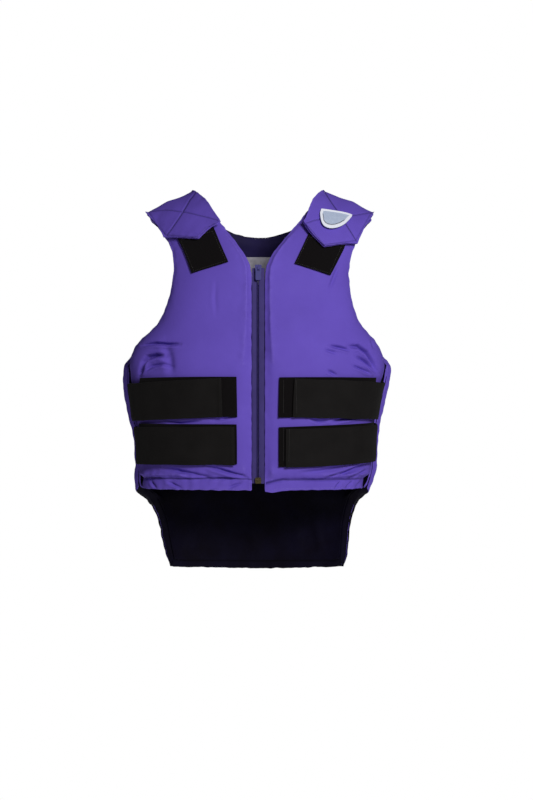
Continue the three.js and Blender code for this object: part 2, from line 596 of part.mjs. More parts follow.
function flapSkin(flap, a, v, lift) {
  const over = THREE.MathUtils.smoothstep(RIDGE + FLAP_REAR - v, 0, FLAP_REAR);
  const base = THREE.MathUtils.lerp(WRAP_GAP, WRAP_GAP + LOOP_THICKNESS + WRAP_GAP, over);
  const u = THREE.MathUtils.lerp(FLAP_OVERHANG, 1 - FLAP_OVERHANG, a) + flap.shift;
  return shoulderSkin(u, v, base + lift);
}
function flapPoint(flap, a, b, lift) {
  return flapSkin(flap, a, flapRow(flap, a, b), lift);
}
function shoulderFlap(flap) {
  const [columns, lines] = [8, 14];
  const outer = (i, j) => {
    const [a, b] = [i / columns, 1 - j / lines];
    return flapPoint(flap, a, b, flapThickness(flap, a, b));
  };
  const inner = (i, j) => flapPoint(flap, i / columns, 1 - j / lines, 0);
  return wall(columns, lines, outer, inner);
}

// A half-round patch on a flap, its straight edge uppermost.
function shoulderBadge(flap) {
  const [columns, lines] = [8, 3];
  const width = SHOULDER_HALF_WIDTH - NECK_HALF_WIDTH;
  const rowStep = columnLength(RIDGE - 2, RIDGE) / 2;
  const sheet = (lift) => (i, j) => {
    const across = THREE.MathUtils.lerp(-BADGE_TIP_SHARE, BADGE_TIP_SHARE, i / columns);
    const down = BADGE_DEPTH * Math.sqrt(1 - across * across) * (1 - j / lines);
    const a = BADGE_MIDDLE_SHARE + (across * BADGE_WIDTH) / 2 / width;
    const top = THREE.MathUtils.lerp(BADGE_NECK_ROWS, BADGE_ARM_ROWS, (across + 1) / 2);
    const lying = RIDGE - top - down / rowStep;
    return flapSkin(flap, a, lying, FLAP_THICKNESS + WRAP_GAP + lift);
  };
  return wall(columns, lines, sheet(BADGE_THICKNESS), sheet(0));
}

// A patch on the lining across the back of the neck.
function neckLabel() {
  const [columns, lines] = [6, 3];
  const sheet = (lift) => (i, j) => {
    const x = (i / columns - 0.5) * LABEL_WIDTH;
    const z = -LABEL_TOP - (j / lines) * LABEL_HEIGHT;
    const { u, v } = viewToPanel(BACK, -1, Math.abs(x), z);
    const point = skin(BACK, -1, u, v, WRAP_GAP + LINING_THICKNESS + WRAP_GAP + lift);
    return point.setX(x < 0 ? -point.x : x > 0 ? point.x : 0);
  };
  return wall(columns, lines, sheet(0), sheet(LABEL_THICKNESS));
}

// Rows of the front's zip edge from the zip's lower end to its top, as points of the middle surface.
function zipRows(bottom, top) {
  const low = rowAtHeight(0, -bottom, 0, FRONT_TOP);
  const high = rowAtHeight(0, -top, 0, FRONT_TOP);
  const whole = Array.from({ length: RIDGE }, (_, k) => k).filter((k) => k > low + 0.1 && k < high - 0.1);
  return [low, ...whole, high];
}

// A strip along the zip between x = from and x = to. back and front are how far its two faces lie in
// front of the panel's middle surface.
function zipStrip(bottom, top, from, to, back, front) {
  const rows = zipRows(bottom, top);
  const sheet = (forward) => (i, j) => {
    const edge = middle(0, rows[j]);
    return new THREE.Vector3(i ? to : from, edge.y - forward, edge.z);
  };
  return wall(1, rows.length - 1, sheet(front), sheet(back));
}

const TAPE_FACE = TAPE_THICKNESS / 2;
const CHAIN_BACK = TAPE_FACE + CLEARANCE;
const CHAIN_FACE = CHAIN_BACK + CHAIN_THICKNESS;
const CHAIN_TOP = SLIDER_TOP + SLIDER_WEDGE + CLEARANCE;

function zipTape() {
  const near = TAPE_GAP_AT_CHAIN / 2;
  return zipStrip(ZIP_BOTTOM, CHAIN_TOP, near, ZIP_EDGE - CLEARANCE, -TAPE_FACE, TAPE_FACE);
}
function zipChain() {
  const bottom = ZIP_BOTTOM - BOX_LENGTH - CLEARANCE;
  const half = CHAIN_WIDTH / 2;
  return zipStrip(bottom, CHAIN_TOP, -half, half, CHAIN_BACK, CHAIN_FACE);
}

// A solid of manifold-3d from a closed three.js geometry, and back.
function solid(geometry) {
  const bare = geometry.clone();
  for (const name of ["normal", "uv"]) bare.deleteAttribute(name);
  const merged = mergeVertices(bare, 1e-4);
  const vertProperties = new Float32Array(merged.getAttribute("position").array);
  const triVerts = new Uint32Array(merged.index.array);
  return new wasm.Manifold(new wasm.Mesh({ numProp: 3, vertProperties, triVerts }));
}
function geometryOf(body) {
  const mesh = body.getMesh();
  const geometry = new THREE.BufferGeometry();
  geometry.setAttribute("position", new THREE.Float32BufferAttribute(mesh.vertProperties, 3));
  geometry.setIndex(Array.from(mesh.triVerts));
  return geometry;
}

// A rounded rectangle, as a shape or as a hole of one.
function roundedRect(x, y, width, height, radius, path = new THREE.Shape()) {
  path.moveTo(x + radius, y);
  path.lineTo(x + width - radius, y);
  path.absarc(x + width - radius, y + radius, radius, -Math.PI / 2, 0, false);
  path.lineTo(x + width, y + height - radius);
  path.absarc(x + width - radius, y + height - radius, radius, 0, Math.PI / 2, false);
  path.lineTo(x + radius, y + height);
  path.absarc(x + radius, y + height - radius, radius, Math.PI / 2, Math.PI, false);
  path.lineTo(x, y + radius);
  path.absarc(x + radius, y + radius, radius, Math.PI, 1.5 * Math.PI, false);
  return path;
}

// The zip fastener's own frame at a depth below the origin: x across, y up the zip and z out of it,
// along the slope that the zip has between depths low and high.
function zipFrame(down, low, high) {
  const at = (depth) => middle(0, rowAtHeight(0, -depth, 0, FRONT_TOP)).setX(0);
  const up = at(high).sub(at(low)).normalize();
  const across = new THREE.Vector3(1, 0, 0);
  return new THREE.Matrix4().makeBasis(across, up, across.clone().cross(up)).setPosition(at(down));
}
const SLIDER_FRAME = zipFrame(SLIDER_TOP, SLIDER_TOP + SLIDER_LENGTH, SLIDER_TOP);
const BOX_FRAME = zipFrame(ZIP_BOTTOM, ZIP_BOTTOM, ZIP_BOTTOM - BOX_LENGTH);

// A plate of the zip, drawn in the zip's frame from depth from to depth to.
function zipPlate(shape, from, to) {
  const options = { depth: to - from, bevelEnabled: false, curveSegments: 3 };
  return new THREE.ExtrudeGeometry(shape, options).translate(0, 0, from);
}

const SLIDER_BACK = -TAPE_FACE - 2 * CLEARANCE;
const SLIDER_FRONT = CHAIN_FACE + CLEARANCE + SLIDER_PLATE;
const BAR_RISE = CLEARANCE + Math.hypot(PULL_BAR_RADIUS, PULL_THICKNESS / 2);
const BAR_HEIGHT = SLIDER_FRONT + BAR_RISE;
const SLOT_HEIGHT = BAR_RISE + PULL_BAR_RADIUS + CLEARANCE;
const SLOT_LENGTH = 2 * (CLEARANCE + PULL_BAR_RADIUS) + BRIDGE_PLAY;
const BAR_UP = -SLOT_LENGTH / 2 + CLEARANCE + PULL_BAR_RADIUS;

// The slider: a plate before and one behind the chain, joined by a wedge above the chain's end, and a
// bridge on the front that holds the pull's bar.
function zipSlider() {
  const half = SLIDER_WIDTH / 2;
  const outline = roundedRect(-half, -SLIDER_LENGTH, SLIDER_WIDTH, SLIDER_LENGTH, SLIDER_CORNER);
  const wedge = roundedRect(-half, -SLIDER_WEDGE, SLIDER_WIDTH, SLIDER_WEDGE, SLIDER_CORNER);
  const front = zipPlate(outline, SLIDER_FRONT - SLIDER_PLATE, SLIDER_FRONT);
  const back = zipPlate(outline, SLIDER_BACK - SLIDER_PLATE, SLIDER_BACK);
  const joint = zipPlate(wedge, SLIDER_BACK - SLIDER_PLATE / 2, SLIDER_FRONT - SLIDER_PLATE / 2);
  const reach = SLOT_LENGTH + 2 * BRIDGE_WALL;
  const sunk = SLIDER_PLATE / 2;
  const height = sunk + SLOT_HEIGHT + BRIDGE_WALL;
  const arch = roundedRect(-reach / 2, -sunk, reach, height, BRIDGE_WALL / 2);
  const slot = roundedRect(-SLOT_LENGTH / 2, 0, SLOT_LENGTH, SLOT_HEIGHT, BRIDGE_WALL / 4, new THREE.Path());
  arch.holes.push(slot);
  const bridge = zipPlate(arch, -BRIDGE_WIDTH / 2, BRIDGE_WIDTH / 2);
  const upright = new THREE.Matrix4().makeBasis(
    new THREE.Vector3(0, 1, 0),
    new THREE.Vector3(0, 0, 1),
    new THREE.Vector3(1, 0, 0),
  );
  bridge.applyMatrix4(upright).translate(0, -SLIDER_LENGTH / 2, SLIDER_FRONT);
  const body = [front, joint, back, bridge].map(solid).reduce((whole, piece) => whole.add(piece));
  return geometryOf(body).applyMatrix4(SLIDER_FRAME);
}

// The pull: a tab with a window for the bridge, hung from a round bar. Its own origin is the bar.
function zipPull() {
  const top = PULL_BAR_RADIUS;
  const tab = roundedRect(-PULL_WIDTH / 2, -PULL_LENGTH, PULL_WIDTH, PULL_LENGTH + top, PULL_CORNER);
  const windowWidth = BRIDGE_WIDTH + 4 * CLEARANCE;
  const plate = zipPlate(tab, -PULL_THICKNESS / 2, PULL_THICKNESS / 2);
  const low = -top - PULL_WINDOW;
  const window = roundedRect(-windowWidth / 2, low, windowWidth, PULL_WINDOW + 3 * top, CLEARANCE);
  const opened = solid(plate).subtract(solid(zipPlate(window, -PULL_THICKNESS, PULL_THICKNESS)));
  const bar = new THREE.CylinderGeometry(top, top, windowWidth + PULL_THICKNESS, 10).rotateZ(Math.PI / 2);
  return geometryOf(opened.add(solid(bar)));
}

// The block that the zip's lower ends are held in.
function zipBox() {
  const outline = roundedRect(-BOX_WIDTH / 2, 0, BOX_WIDTH, BOX_LENGTH, SLIDER_CORNER);
  return zipPlate(outline, CHAIN_BACK, CHAIN_BACK + BOX_THICKNESS).applyMatrix4(BOX_FRAME);
}

function piece(name, geometry, look) {
  const mesh = new THREE.Mesh(geometry, new THREE.MeshStandardMaterial(look));
  mesh.name = name;
  return mesh;
}

const vest = new THREE.Group();
for (const [side, hand] of [["right", -1], ["left", 1]]) {
  vest.add(piece(`front_panel_${side}`, forHand(frontPanel(), hand), COLOURS.shell));
  vest.add(piece(`shoulder_loop_${side}`, forHand(shoulderLoop(), hand), COLOURS.loop));
  vest.add(piece(`zip_tape_${side}`, forHand(zipTape(), hand), COLOURS.tape));
}
vest.add(piece("back_panel", backPanel(), COLOURS.shell));
vest.add(piece("back_lining", backLining(), COLOURS.lining));
for (const flap of SHOULDER_FLAPS) {
  vest.add(piece(`shoulder_flap_${flap.name}`, forHand(shoulderFlap(flap), flap.hand), COLOURS.shell));
}
for (const strap of SIDE_STRAPS) {
  vest.add(piece(`side_strap_${strap.name}`, forHand(sideStrap(strap), strap.hand), COLOURS.elastic));
  vest.add(piece(`side_loop_${strap.name}`, forHand(sideLoop(strap), strap.hand), COLOURS.loop));
}
vest.add(piece("shoulder_badge", shoulderBadge(SHOULDER_FLAPS[1]), COLOURS.badge));
vest.add(piece("neck_label", neckLabel(), COLOURS.label));
vest.add(piece("zip_chain", zipChain(), COLOURS.chain));
vest.add(piece("zip_slider", zipSlider(), COLOURS.slider));
vest.add(piece("zip_box", zipBox(), COLOURS.brass));

const pull = piece("zip_pull", zipPull(), COLOURS.slider);
pull.applyMatrix4(SLIDER_FRAME);
pull.translateY(BAR_UP - SLIDER_LENGTH / 2);
pull.translateZ(BAR_HEIGHT);
vest.add(pull);

export default vest;
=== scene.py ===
"""A purple zip-front riding vest in its worn shape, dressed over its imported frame."""

import math

import bmesh
import bpy
import numpy as np
from mathutils import Matrix, Vector, noise
from mathutils.bvhtree import BVHTree
from mathutils.kdtree import KDTree


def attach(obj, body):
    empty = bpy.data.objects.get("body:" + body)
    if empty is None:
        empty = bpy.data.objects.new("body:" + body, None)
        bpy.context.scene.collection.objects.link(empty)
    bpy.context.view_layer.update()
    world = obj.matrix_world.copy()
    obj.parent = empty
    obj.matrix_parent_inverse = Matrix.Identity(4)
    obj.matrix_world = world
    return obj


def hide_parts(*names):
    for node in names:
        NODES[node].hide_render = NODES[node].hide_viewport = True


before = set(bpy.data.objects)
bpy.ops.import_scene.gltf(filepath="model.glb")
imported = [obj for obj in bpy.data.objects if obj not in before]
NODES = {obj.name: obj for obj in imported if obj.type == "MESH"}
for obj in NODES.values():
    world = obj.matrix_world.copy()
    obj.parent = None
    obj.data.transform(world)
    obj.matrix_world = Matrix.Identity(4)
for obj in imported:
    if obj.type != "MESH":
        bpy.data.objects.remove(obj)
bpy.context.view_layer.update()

MM = 0.001
SIDES = ("right", "left")
ROWS = ("upper", "lower")
# Where the camera stands, and a like place behind the vest.
EYE = Vector((0.0124, -3.0, -0.2883))
BACK_EYE = Vector((0, 3.0, -0.2883))

# Mesh helpers


def read_points(mesh):
    flat = np.empty(len(mesh.vertices) * 3, np.float32)
    mesh.vertices.foreach_get("co", flat)
    return flat.reshape(-1, 3).astype(float)


def read_normals(mesh):
    flat = np.empty(len(mesh.vertices) * 3, np.float32)
    mesh.vertex_normals.foreach_get("vector", flat)
    return flat.reshape(-1, 3).astype(float)


def write_points(mesh, points):
    mesh.vertices.foreach_set("co", points.astype(np.float32).ravel())
    mesh.update()


def settle(piece):
    """Applies every modifier of a piece."""
    bpy.context.view_layer.update()
    shape = piece.evaluated_get(bpy.context.evaluated_depsgraph_get())
    mesh = bpy.data.meshes.new_from_object(shape)
    piece.modifiers.clear()
    old = piece.data
    piece.data = mesh
    mesh.name = piece.name
    bpy.data.meshes.remove(old)


def new_piece(name, bm, material):
    """A smooth piece that rides with the vest."""
    mesh = bpy.data.meshes.new(name)
    bm.to_mesh(mesh)
    bm.free()
    mesh.shade_smooth()
    piece = bpy.data.objects.new(name, mesh)
    bpy.context.scene.collection.objects.link(piece)
    mesh.materials.append(material)
    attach(piece, "vest")
    return piece


# Two triangles become a quad again up to these angles, and a node's surface has a sewn or cut
# edge wherever it turns by more than the last one.
QUAD_BEND = math.radians(60)
QUAD_SKEW = math.radians(120)
SEWN_BEND = math.radians(38)


def pattern_of(node):
    """A welded copy of a node's mesh with its quads back and its sewn or cut edges creased."""
    bm = bmesh.new()
    bm.from_mesh(NODES[node].data)
    bmesh.ops.remove_doubles(bm, verts=bm.verts, dist=0.01 * MM)
    bmesh.ops.join_triangles(
        bm, faces=bm.faces, angle_face_threshold=QUAD_BEND, angle_shape_threshold=QUAD_SKEW
    )
    crease = bm.edges.layers.float.new("crease_edge")
    for edge in bm.edges:
        if edge.calc_face_angle(0) > SEWN_BEND:
            edge[crease] = 1.0
    return bm


def subdivide(piece, levels):
    finish = piece.modifiers.new("rounding", "SUBSURF")
    finish.levels = finish.render_levels = levels
    finish.uv_smooth = "NONE"
    settle(piece)


def sharp_points(mesh):
    """The points on a mesh's sharp seams."""
    sharp = mesh.attributes["crease_edge"]
    return sorted({i for edge in mesh.edges if sharp.data[edge.index].value > 0.1 for i in edge.vertices})


def joined_tree(pieces):
    """One search tree over the surfaces of several pieces."""
    corners, faces = [], []
    for piece in pieces:
        faces += [[i + len(corners) for i in p.vertices] for p in piece.data.polygons]
        corners += [v.co.copy() for v in piece.data.vertices]
    return BVHTree.FromPolygons(corners, faces)


def edge_distance(points, seams):
    tree = KDTree(len(seams))
    for index, point in enumerate(seams):
        tree.insert(point, index)
    tree.balance()
    return np.array([tree.find(point)[2] for point in points])


def front_view(points):
    """Where the camera sees points, on the upright plane through the shoulders."""
    scale = -EYE.y / (points[:, 1] - EYE.y)
    return np.stack([EYE.x + (points[:, 0] - EYE.x) * scale, EYE.z + (points[:, 2] - EYE.z) * scale], 1)


def bell(gap, width):
    """1 on a line and nearly 0 from two widths (mm) off."""
    return np.exp(-((gap / (width * MM)) ** 2))


def near(gap, reach):
    """1 on a seam, less and less away from it; reach is in mm."""
    return np.exp(-gap / (reach * MM))


def store(mesh, name, values):
    kind = "FLOAT_VECTOR" if values.ndim == 2 else "FLOAT"
    layer = mesh.attributes.new(name, kind, "POINT")
    layer.data.foreach_set("vector" if values.ndim == 2 else "value", values.astype(np.float32).ravel())


# Materials


class Finish:
    """A node material under construction."""

    def __init__(self, name):
        self.material = bpy.data.materials.new(name)
        self.material.use_nodes = True
        self.tree = self.material.node_tree
        self.shader = self.tree.nodes["Principled BSDF"]

    def node(self, kind, settings=None, **inputs):
        made = self.tree.nodes.new(kind)
        for key, value in (settings or {}).items():
            setattr(made, key, value)
        for key, value in inputs.items():
            self.feed(made.inputs[key], value)
        return made

    def feed(self, socket, value):
        """Gives a socket its number or colour, or links it to another node."""
        if isinstance(value, bpy.types.NodeSocket):
            self.tree.links.new(value, socket)
        else:
            socket.default_value = value

    def set(self, **values):
        for key, value in values.items():
            self.feed(self.shader.inputs[key.replace("_", " ")], value)

    def place(self, attribute=None, scale=(1, 1, 1)):
        """Coordinates on the piece: its own metres, or those stored on its mesh."""
        if attribute:
            source = self.node("ShaderNodeAttribute", {"attribute_name": attribute}).outputs["Vector"]
        else:
            source = self.node("ShaderNodeTexCoord").outputs["Object"]
        return self.node("ShaderNodeMapping", Vector=source, Scale=scale).outputs[0]

    def stored(self, name):
        """A number that is stored on the mesh."""
        return self.node("ShaderNodeAttribute", {"attribute_name": name}).outputs["Fac"]

    def noise(self, place, size, detail=3.0, roughness=0.5):
        made = self.node(
            "ShaderNodeTexNoise", Vector=place, Scale=1 / size, Detail=detail, Roughness=roughness
        )
        return made.outputs["Fac"]

    def bands(self, place, pitch, direction, distortion=0.0):
        """Soft bands, one for each pitch (m) along a direction."""
        made = self.node(
            "ShaderNodeTexWave",
            {"bands_direction": direction},
            Vector=place,
            Scale=math.pi / (10 * pitch),
            Distortion=distortion,
        )
        return made.outputs["Fac"]

    def math(self, operation, *values):
        made = self.node("ShaderNodeMath", {"operation": operation})
        for socket, value in zip(made.inputs, values):
            self.feed(socket, value)
        return made.outputs[0]

    def ramp(self, value, low, high, to_low=0.0, to_high=1.0):
        """Spreads a value between low and high over to_low to to_high."""
        made = self.node("ShaderNodeMapRange", Value=value)
        for index, number in enumerate((low, high, to_low, to_high), 1):
            made.inputs[index].default_value = number
        return made.outputs[0]

    def mix(self, factor, a, b):
        made = self.node("ShaderNodeMix", {"data_type": "RGBA"})
        self.feed(made.inputs[0], factor)
        self.feed(made.inputs[6], a)
        self.feed(made.inputs[7], b)
        return made.outputs[2]

    def bump(self, height, depth, strength, under=None):
        made = self.node("ShaderNodeBump", Height=height, Strength=strength, Distance=depth)
        if under is not None:
            self.feed(made.inputs["Normal"], under)
        return made.outputs[0]


def rgb(red, green, blue):
    """A colour given as it looks, from 0 to 255, as the shader's linear numbers."""
    linear = [((c / 255 + 0.055) / 1.055) ** 2.4 if c > 10 else c / 255 / 12.92 for c in (red, green, blue)]
    return (*linear, 1.0)


def shell_cloth():
    """Plain-weave cloth: over-and-under threads, slubs and uneven dye; seams paler from wear and a painted
    highlight, and painted shade along seam and crease lines.
    """
    f = Finish("purple_shell_cloth")
    dark, light = rgb(95, 74, 176), rgb(104, 82, 190)
    place = f.place("weave")
    warp = f.bands(place, 0.42 * MM, "X", 0.4)
    weft = f.bands(place, 0.462 * MM, "Y", 0.4)
    weave = f.math("MULTIPLY", warp, weft)
    body = f.place()
    dye = f.noise(body, 70 * MM, 4)
    slub = f.noise(f.place("weave", (1, 6, 1)), 2.2 * MM, 2)
    shade = f.math("ADD", f.math("MULTIPLY", dye, 0.7), f.math("MULTIPLY", slub, 0.3))
    colour = f.mix(f.ramp(shade, 0.3, 0.7), dark, light)
    colour = f.mix(f.math("MULTIPLY", weave, 0.12), colour, light)
    # Paler along the seams: partly wear, partly a painted highlight on the seam ridges.
    worn_and_highlit = f.math("MULTIPLY", f.stored("seam"), f.ramp(f.noise(body, 6 * MM), 0.35, 0.7))
    colour = f.mix(f.math("MULTIPLY", worn_and_highlit, 0.35), colour, rgb(132, 112, 208))
    # Painted shade: darker along the seam and crease lines stored as line.
    colour = f.mix(f.math("MULTIPLY", f.stored("line"), 0.7), colour, rgb(40, 32, 82))
    crumple = f.bump(f.noise(body, 9 * MM, 5, 0.55), 0.5 * MM, 0.35)
    f.set(
        Base_Color=colour,
        Roughness=f.ramp(f.noise(body, 24 * MM), 0.3, 0.7, 0.73, 0.84),
        Normal=f.bump(weave, 0.06 * MM, 0.3, crumple),
        Specular_IOR_Level=0.15,
    )
    return f.material


def lining_knit():
    """Navy knit with painted shade: lighter at the neck and nearly black in the tail."""
    f = Finish("navy_lining_knit")
    body = f.place()
    place = f.place("weave")
    loops = f.math("MULTIPLY", f.bands(place, 0.7 * MM, "X", 0.4), f.bands(place, 0.9 * MM, "Y"))
    height = f.node("ShaderNodeSeparateXYZ", Vector=body).outputs["Z"]
    dye = f.ramp(f.noise(body, 40 * MM, 4), 0.35, 0.7)
    neck = f.mix(dye, rgb(27, 22, 56), rgb(36, 30, 72))
    tail = f.mix(dye, rgb(5, 2, 11), rgb(11, 8, 27))
    # Painted shade: darker from the neck down to the tail, where the tail lies in shade.
    colour = f.mix(f.ramp(height, -0.3, -0.1), tail, neck)
    colour = f.mix(f.math("MULTIPLY", loops, 0.1), colour, rgb(52, 46, 92))
    normal = f.bump(f.noise(body, 12 * MM, 4), 0.6 * MM, 0.4)
    f.set(
        Base_Color=colour,
        Roughness=0.55,
        Normal=f.bump(loops, 0.1 * MM, 0.5, normal),
        Specular_IOR_Level=0.06,
    )
    return f.material


def zip_tape_cloth():
    f = Finish("ribbed_zip_tape")
    place = f.place()
    rib = f.bands(place, 1.7 * MM, "X", 0.1)
    pick = f.bands(place, 0.7 * MM, "Z", 0.3)
    colour = f.mix(f.ramp(f.noise(place, 20 * MM, 4), 0.3, 0.7), rgb(50, 41, 96), rgb(58, 48, 108))
    colour = f.mix(f.math("MULTIPLY", rib, 0.5), colour, rgb(74, 60, 130))
    f.set(
        Base_Color=colour,
        Roughness=0.65,
        Normal=f.bump(f.math("ADD", rib, f.math("MULTIPLY", pick, 0.2)), 0.25 * MM, 0.7),
        Specular_IOR_Level=0.2,
    )
    return f.material


def elastic_webbing():
    f = Finish("ribbed_black_elastic")
    place = f.place()
    rib = f.bands(place, 1.3 * MM, "Z", 0.15)
    pick = f.bands(place, 0.8 * MM, "X", 0.3)
    knit = f.math("ADD", f.math("MULTIPLY", rib, 0.75), f.math("MULTIPLY", pick, 0.25))
    dust = f.noise(place, 30 * MM, 4)
    colour = f.mix(f.ramp(dust, 0.35, 0.7), rgb(14, 12, 12), rgb(20, 18, 18))
    colour = f.mix(f.math("MULTIPLY", rib, 0.35), colour, rgb(27, 25, 24))
    f.set(
        Base_Color=colour,
        Roughness=0.8,
        Normal=f.bump(knit, 0.22 * MM, 0.7),
        Sheen_Weight=0.02,
        Specular_IOR_Level=0.12,
    )
    return f.material


def brushed_loop():
    f = Finish("brushed_black_loop")
    place = f.place()
    pile = f.noise(place, 0.9 * MM, 4, 0.7)
    tuft = f.noise(place, 3.5 * MM, 3)
    colour = f.mix(f.ramp(pile, 0.35, 0.75), rgb(9, 7, 8), rgb(19, 16, 17))
    normal = f.bump(tuft, 0.5 * MM, 0.5)
    f.set(
        Base_Color=colour,
        Roughness=0.95,
        Normal=f.bump(pile, 0.35 * MM, 0.8, normal),
        Sheen_Weight=0.03,
        Sheen_Roughness=0.6,
        Specular_IOR_Level=0.06,
    )
    return f.material


def moulded_coil():
    f = Finish("purple_coil")
    place = f.place()
    colour = f.mix(f.noise(place, 2 * MM), rgb(44, 36, 92), rgb(62, 51, 118))
    f.set(Base_Color=colour, Roughness=0.34, Normal=f.bump(f.noise(place, 0.5 * MM), 0.05 * MM, 0.4))
    return f.material


def enamelled_metal():
    f = Finish("purple_enamel")
    place = f.place()
    chips = f.ramp(f.noise(place, 1.5 * MM, 5), 0.72, 0.76)
    colour = f.mix(chips, rgb(34, 27, 112), rgb(90, 84, 132))
    f.set(
        Base_Color=colour,
        Metallic=f.math("MULTIPLY", chips, 0.8),
        Roughness=0.38,
        Coat_Weight=0.15,
        Coat_Roughness=0.25,
        Normal=f.bump(f.noise(place, 0.8 * MM), 0.04 * MM, 0.5),
    )
    return f.material


def dull_brass():
    f = Finish("dull_brass")
    place = f.place()
    tarnish = f.noise(place, 1.2 * MM, 5)
    colour = f.mix(f.ramp(tarnish, 0.35, 0.65), rgb(44, 37, 20), rgb(92, 80, 46))
    f.set(
        Base_Color=colour,
        Metallic=0.6,
        Roughness=f.ramp(tarnish, 0.3, 0.7, 0.3, 0.55),
        Normal=f.bump(tarnish, 0.06 * MM, 0.5),
    )
    return f.material


def satin_label():
    f = Finish("grey_satin_label")
    place = f.place()
    thread = f.bands(place, 0.35 * MM, "X", 0.6)
    cloud = f.noise(place, 8 * MM, 4)
    colour = f.mix(f.ramp(cloud, 0.3, 0.7), rgb(126, 122, 132), rgb(160, 157, 168))
    f.set(
        Base_Color=f.mix(f.math("MULTIPLY", thread, 0.25), colour, rgb(180, 178, 188)),
        Roughness=0.42,
        Normal=f.bump(thread, 0.06 * MM, 0.4),
        Sheen_Weight=0.3,
    )
    return f.material


def thread_finish(name, dark, light):
    f = Finish(name)
    place = f.place()
    twist = f.bands(place, 0.3 * MM, "DIAGONAL")
    f.set(
        Base_Color=f.mix(twist, dark, light),
        Roughness=0.55,
        Normal=f.bump(twist, 0.06 * MM, 0.6),
        Sheen_Weight=0.2,
    )
    return f.material


def woven_badge():
    """A woven badge: raised pale border, blue-grey field and a thin dark line along its arc.

    rim is how far (mm) a point is from the edge and top how far from the straight upper side.
    """
    f = Finish("woven_badge")
    place = f.place()
    rim, top = f.stored("rim"), f.stored("top")
    thread = f.bands(place, 0.5 * MM, "X", 0.4)
    field = f.mix(f.noise(place, 5 * MM, 4), rgb(158, 172, 200), rgb(184, 197, 220))
    colour = f.mix(f.ramp(rim, 4.2, 4.6), rgb(236, 239, 250), field)
    outline = f.math("COMPARE", rim, 4.9, 0.5)
    arc = f.math("MULTIPLY", outline, f.math("GREATER_THAN", top, 6.0))
    colour = f.mix(f.math("MULTIPLY", arc, 0.9), colour, rgb(30, 28, 54))
    colour = f.mix(f.math("MULTIPLY", thread, 0.1), colour, rgb(240, 242, 248))
    raised = f.ramp(rim, 3.6, 4.6, 1.0, 0.0)
    height = f.math("ADD", raised, f.math("MULTIPLY", thread, 0.15))
    f.set(Base_Color=colour, Roughness=0.6, Normal=f.bump(height, 0.5 * MM, 0.8), Sheen_Weight=0.1)
    return f.material


SHELL = shell_cloth()
LINING = lining_knit()
TAPE = zip_tape_cloth()
ELASTIC = elastic_webbing()
LOOP = brushed_loop()
COIL = moulded_coil()
ENAMEL = enamelled_metal()
BRASS = dull_brass()
LABEL = satin_label()
BADGE = woven_badge()
PURPLE_THREAD = thread_finish("purple_thread", rgb(48, 38, 98), rgb(88, 72, 160))
PALE_THREAD = thread_finish("pale_purple_thread", rgb(96, 82, 168), rgb(134, 118, 206))
BLACK_THREAD = thread_finish("black_thread", rgb(24, 22, 22), rgb(50, 47, 46))

NODE_FINISHES = {
    "front_panel": SHELL,
    "back_panel": SHELL,
    "back_lining": LINING,
    "shoulder_flap": SHELL,
    "shoulder_loop": LOOP,
    "shoulder_badge": BADGE,
    "side_strap": ELASTIC,
    "side_loop": LOOP,
    "zip_tape": TAPE,
    "zip_chain": COIL,
    "zip_slider": ENAMEL,
    "zip_pull": ENAMEL,
    "zip_box": BRASS,
    "neck_label": LABEL,
}
for name, node in NODES.items():
    finish = next(value for key, value in NODE_FINISHES.items() if name.startswith(key))
    node.data.materials.clear()
    node.data.materials.append(finish)

# Padded pieces

# How far padding may stand off the frame, close to a strap or patch and away from them.
NEAR_STRAP = 0.35 * MM
FREE_SWELL = 3.2 * MM
# How far inside the frame the padding lies before it is filled, and how deep a fold may go.
TUCK = 1.2 * MM
DEEPEST_FOLD = 9 * MM
FILL_STEPS = 20

LAID_ON = ("side_strap", "side_loop", "shoulder_loop", "back_lining", "zip_tape")
OVERLAYS = joined_tree(node for name, node in NODES.items() if name.startswith(LAID_ON))
PANELS = joined_tree(NODES[f"front_panel_{side}"] for side in SIDES)


def room(points):
    """How far each point may rise before it meets a strap or patch."""
    found = np.full(len(points), FREE_SWELL)
    for index, point in enumerate(points):
        hit = OVERLAYS.find_nearest(Vector(point), 20 * MM)
        if hit[0] is not None:
            found[index] = min(found[index], NEAR_STRAP + max(0.0, hit[3] - 2 * MM) * 0.3)
    return found


# How far (mm) the worn vest's sides hang to its left at each height (mm). A minus is to its right.
LEAN = [
    (-560, -3), (-539, -3), (-502, -5.4), (-465, -7), (-428, -9.5), (-391, -4), (-353, -4), (-316, -5.4),
    (-279, -4.6), (-242, -2), (-205, -2), (-167, 1.5), (-130, 3), (-93, 4.6), (-56, 6.5), (-15, 4.5),
    (3, 2.5), (40, 1.5),
]
# How much lower the tail hangs than the frame's, and how much higher the front hem (mm).
TAIL_DROP = 3.0
HEM_LIFT = 7.3
# The left half's lower corner sags beside the zip: where, how far around and how much (mm).
SAG_X, SAG_Z, SAG_WIDE, SAG_HIGH, SAG_DROP = 19, -430, 16, 14, 3.5


def below(z, start, run):
    """0 above a height, then growing to 1 over the run (mm) below it."""
    return np.clip((start - z) / run, 0, 1)


def lean(points, lift=0.0):
    """Brings points of the even frame to where they hang in the worn vest.

    lift is how far (mm) the piece's hem rides up.
    """
    x, y, z = (points / MM).T
    wide = np.clip(np.abs(x) / 150, 0, 1)
    moved = points.copy()
    moved[:, 0] += np.interp(z, *np.array(LEAN).T) * wide * wide * (3 - 2 * wide) * MM
    moved[:, 2] -= TAIL_DROP * below(z, -440, 110) * MM
    moved[:, 2] += lift * below(z, -395, 28) * MM
    sag = np.exp(-(((x - SAG_X) / SAG_WIDE) ** 2) - ((z - SAG_Z) / SAG_HIGH) ** 2)
    moved[:, 2] -= SAG_DROP * sag * (y < -60) * (x > 4) * MM
    return moved


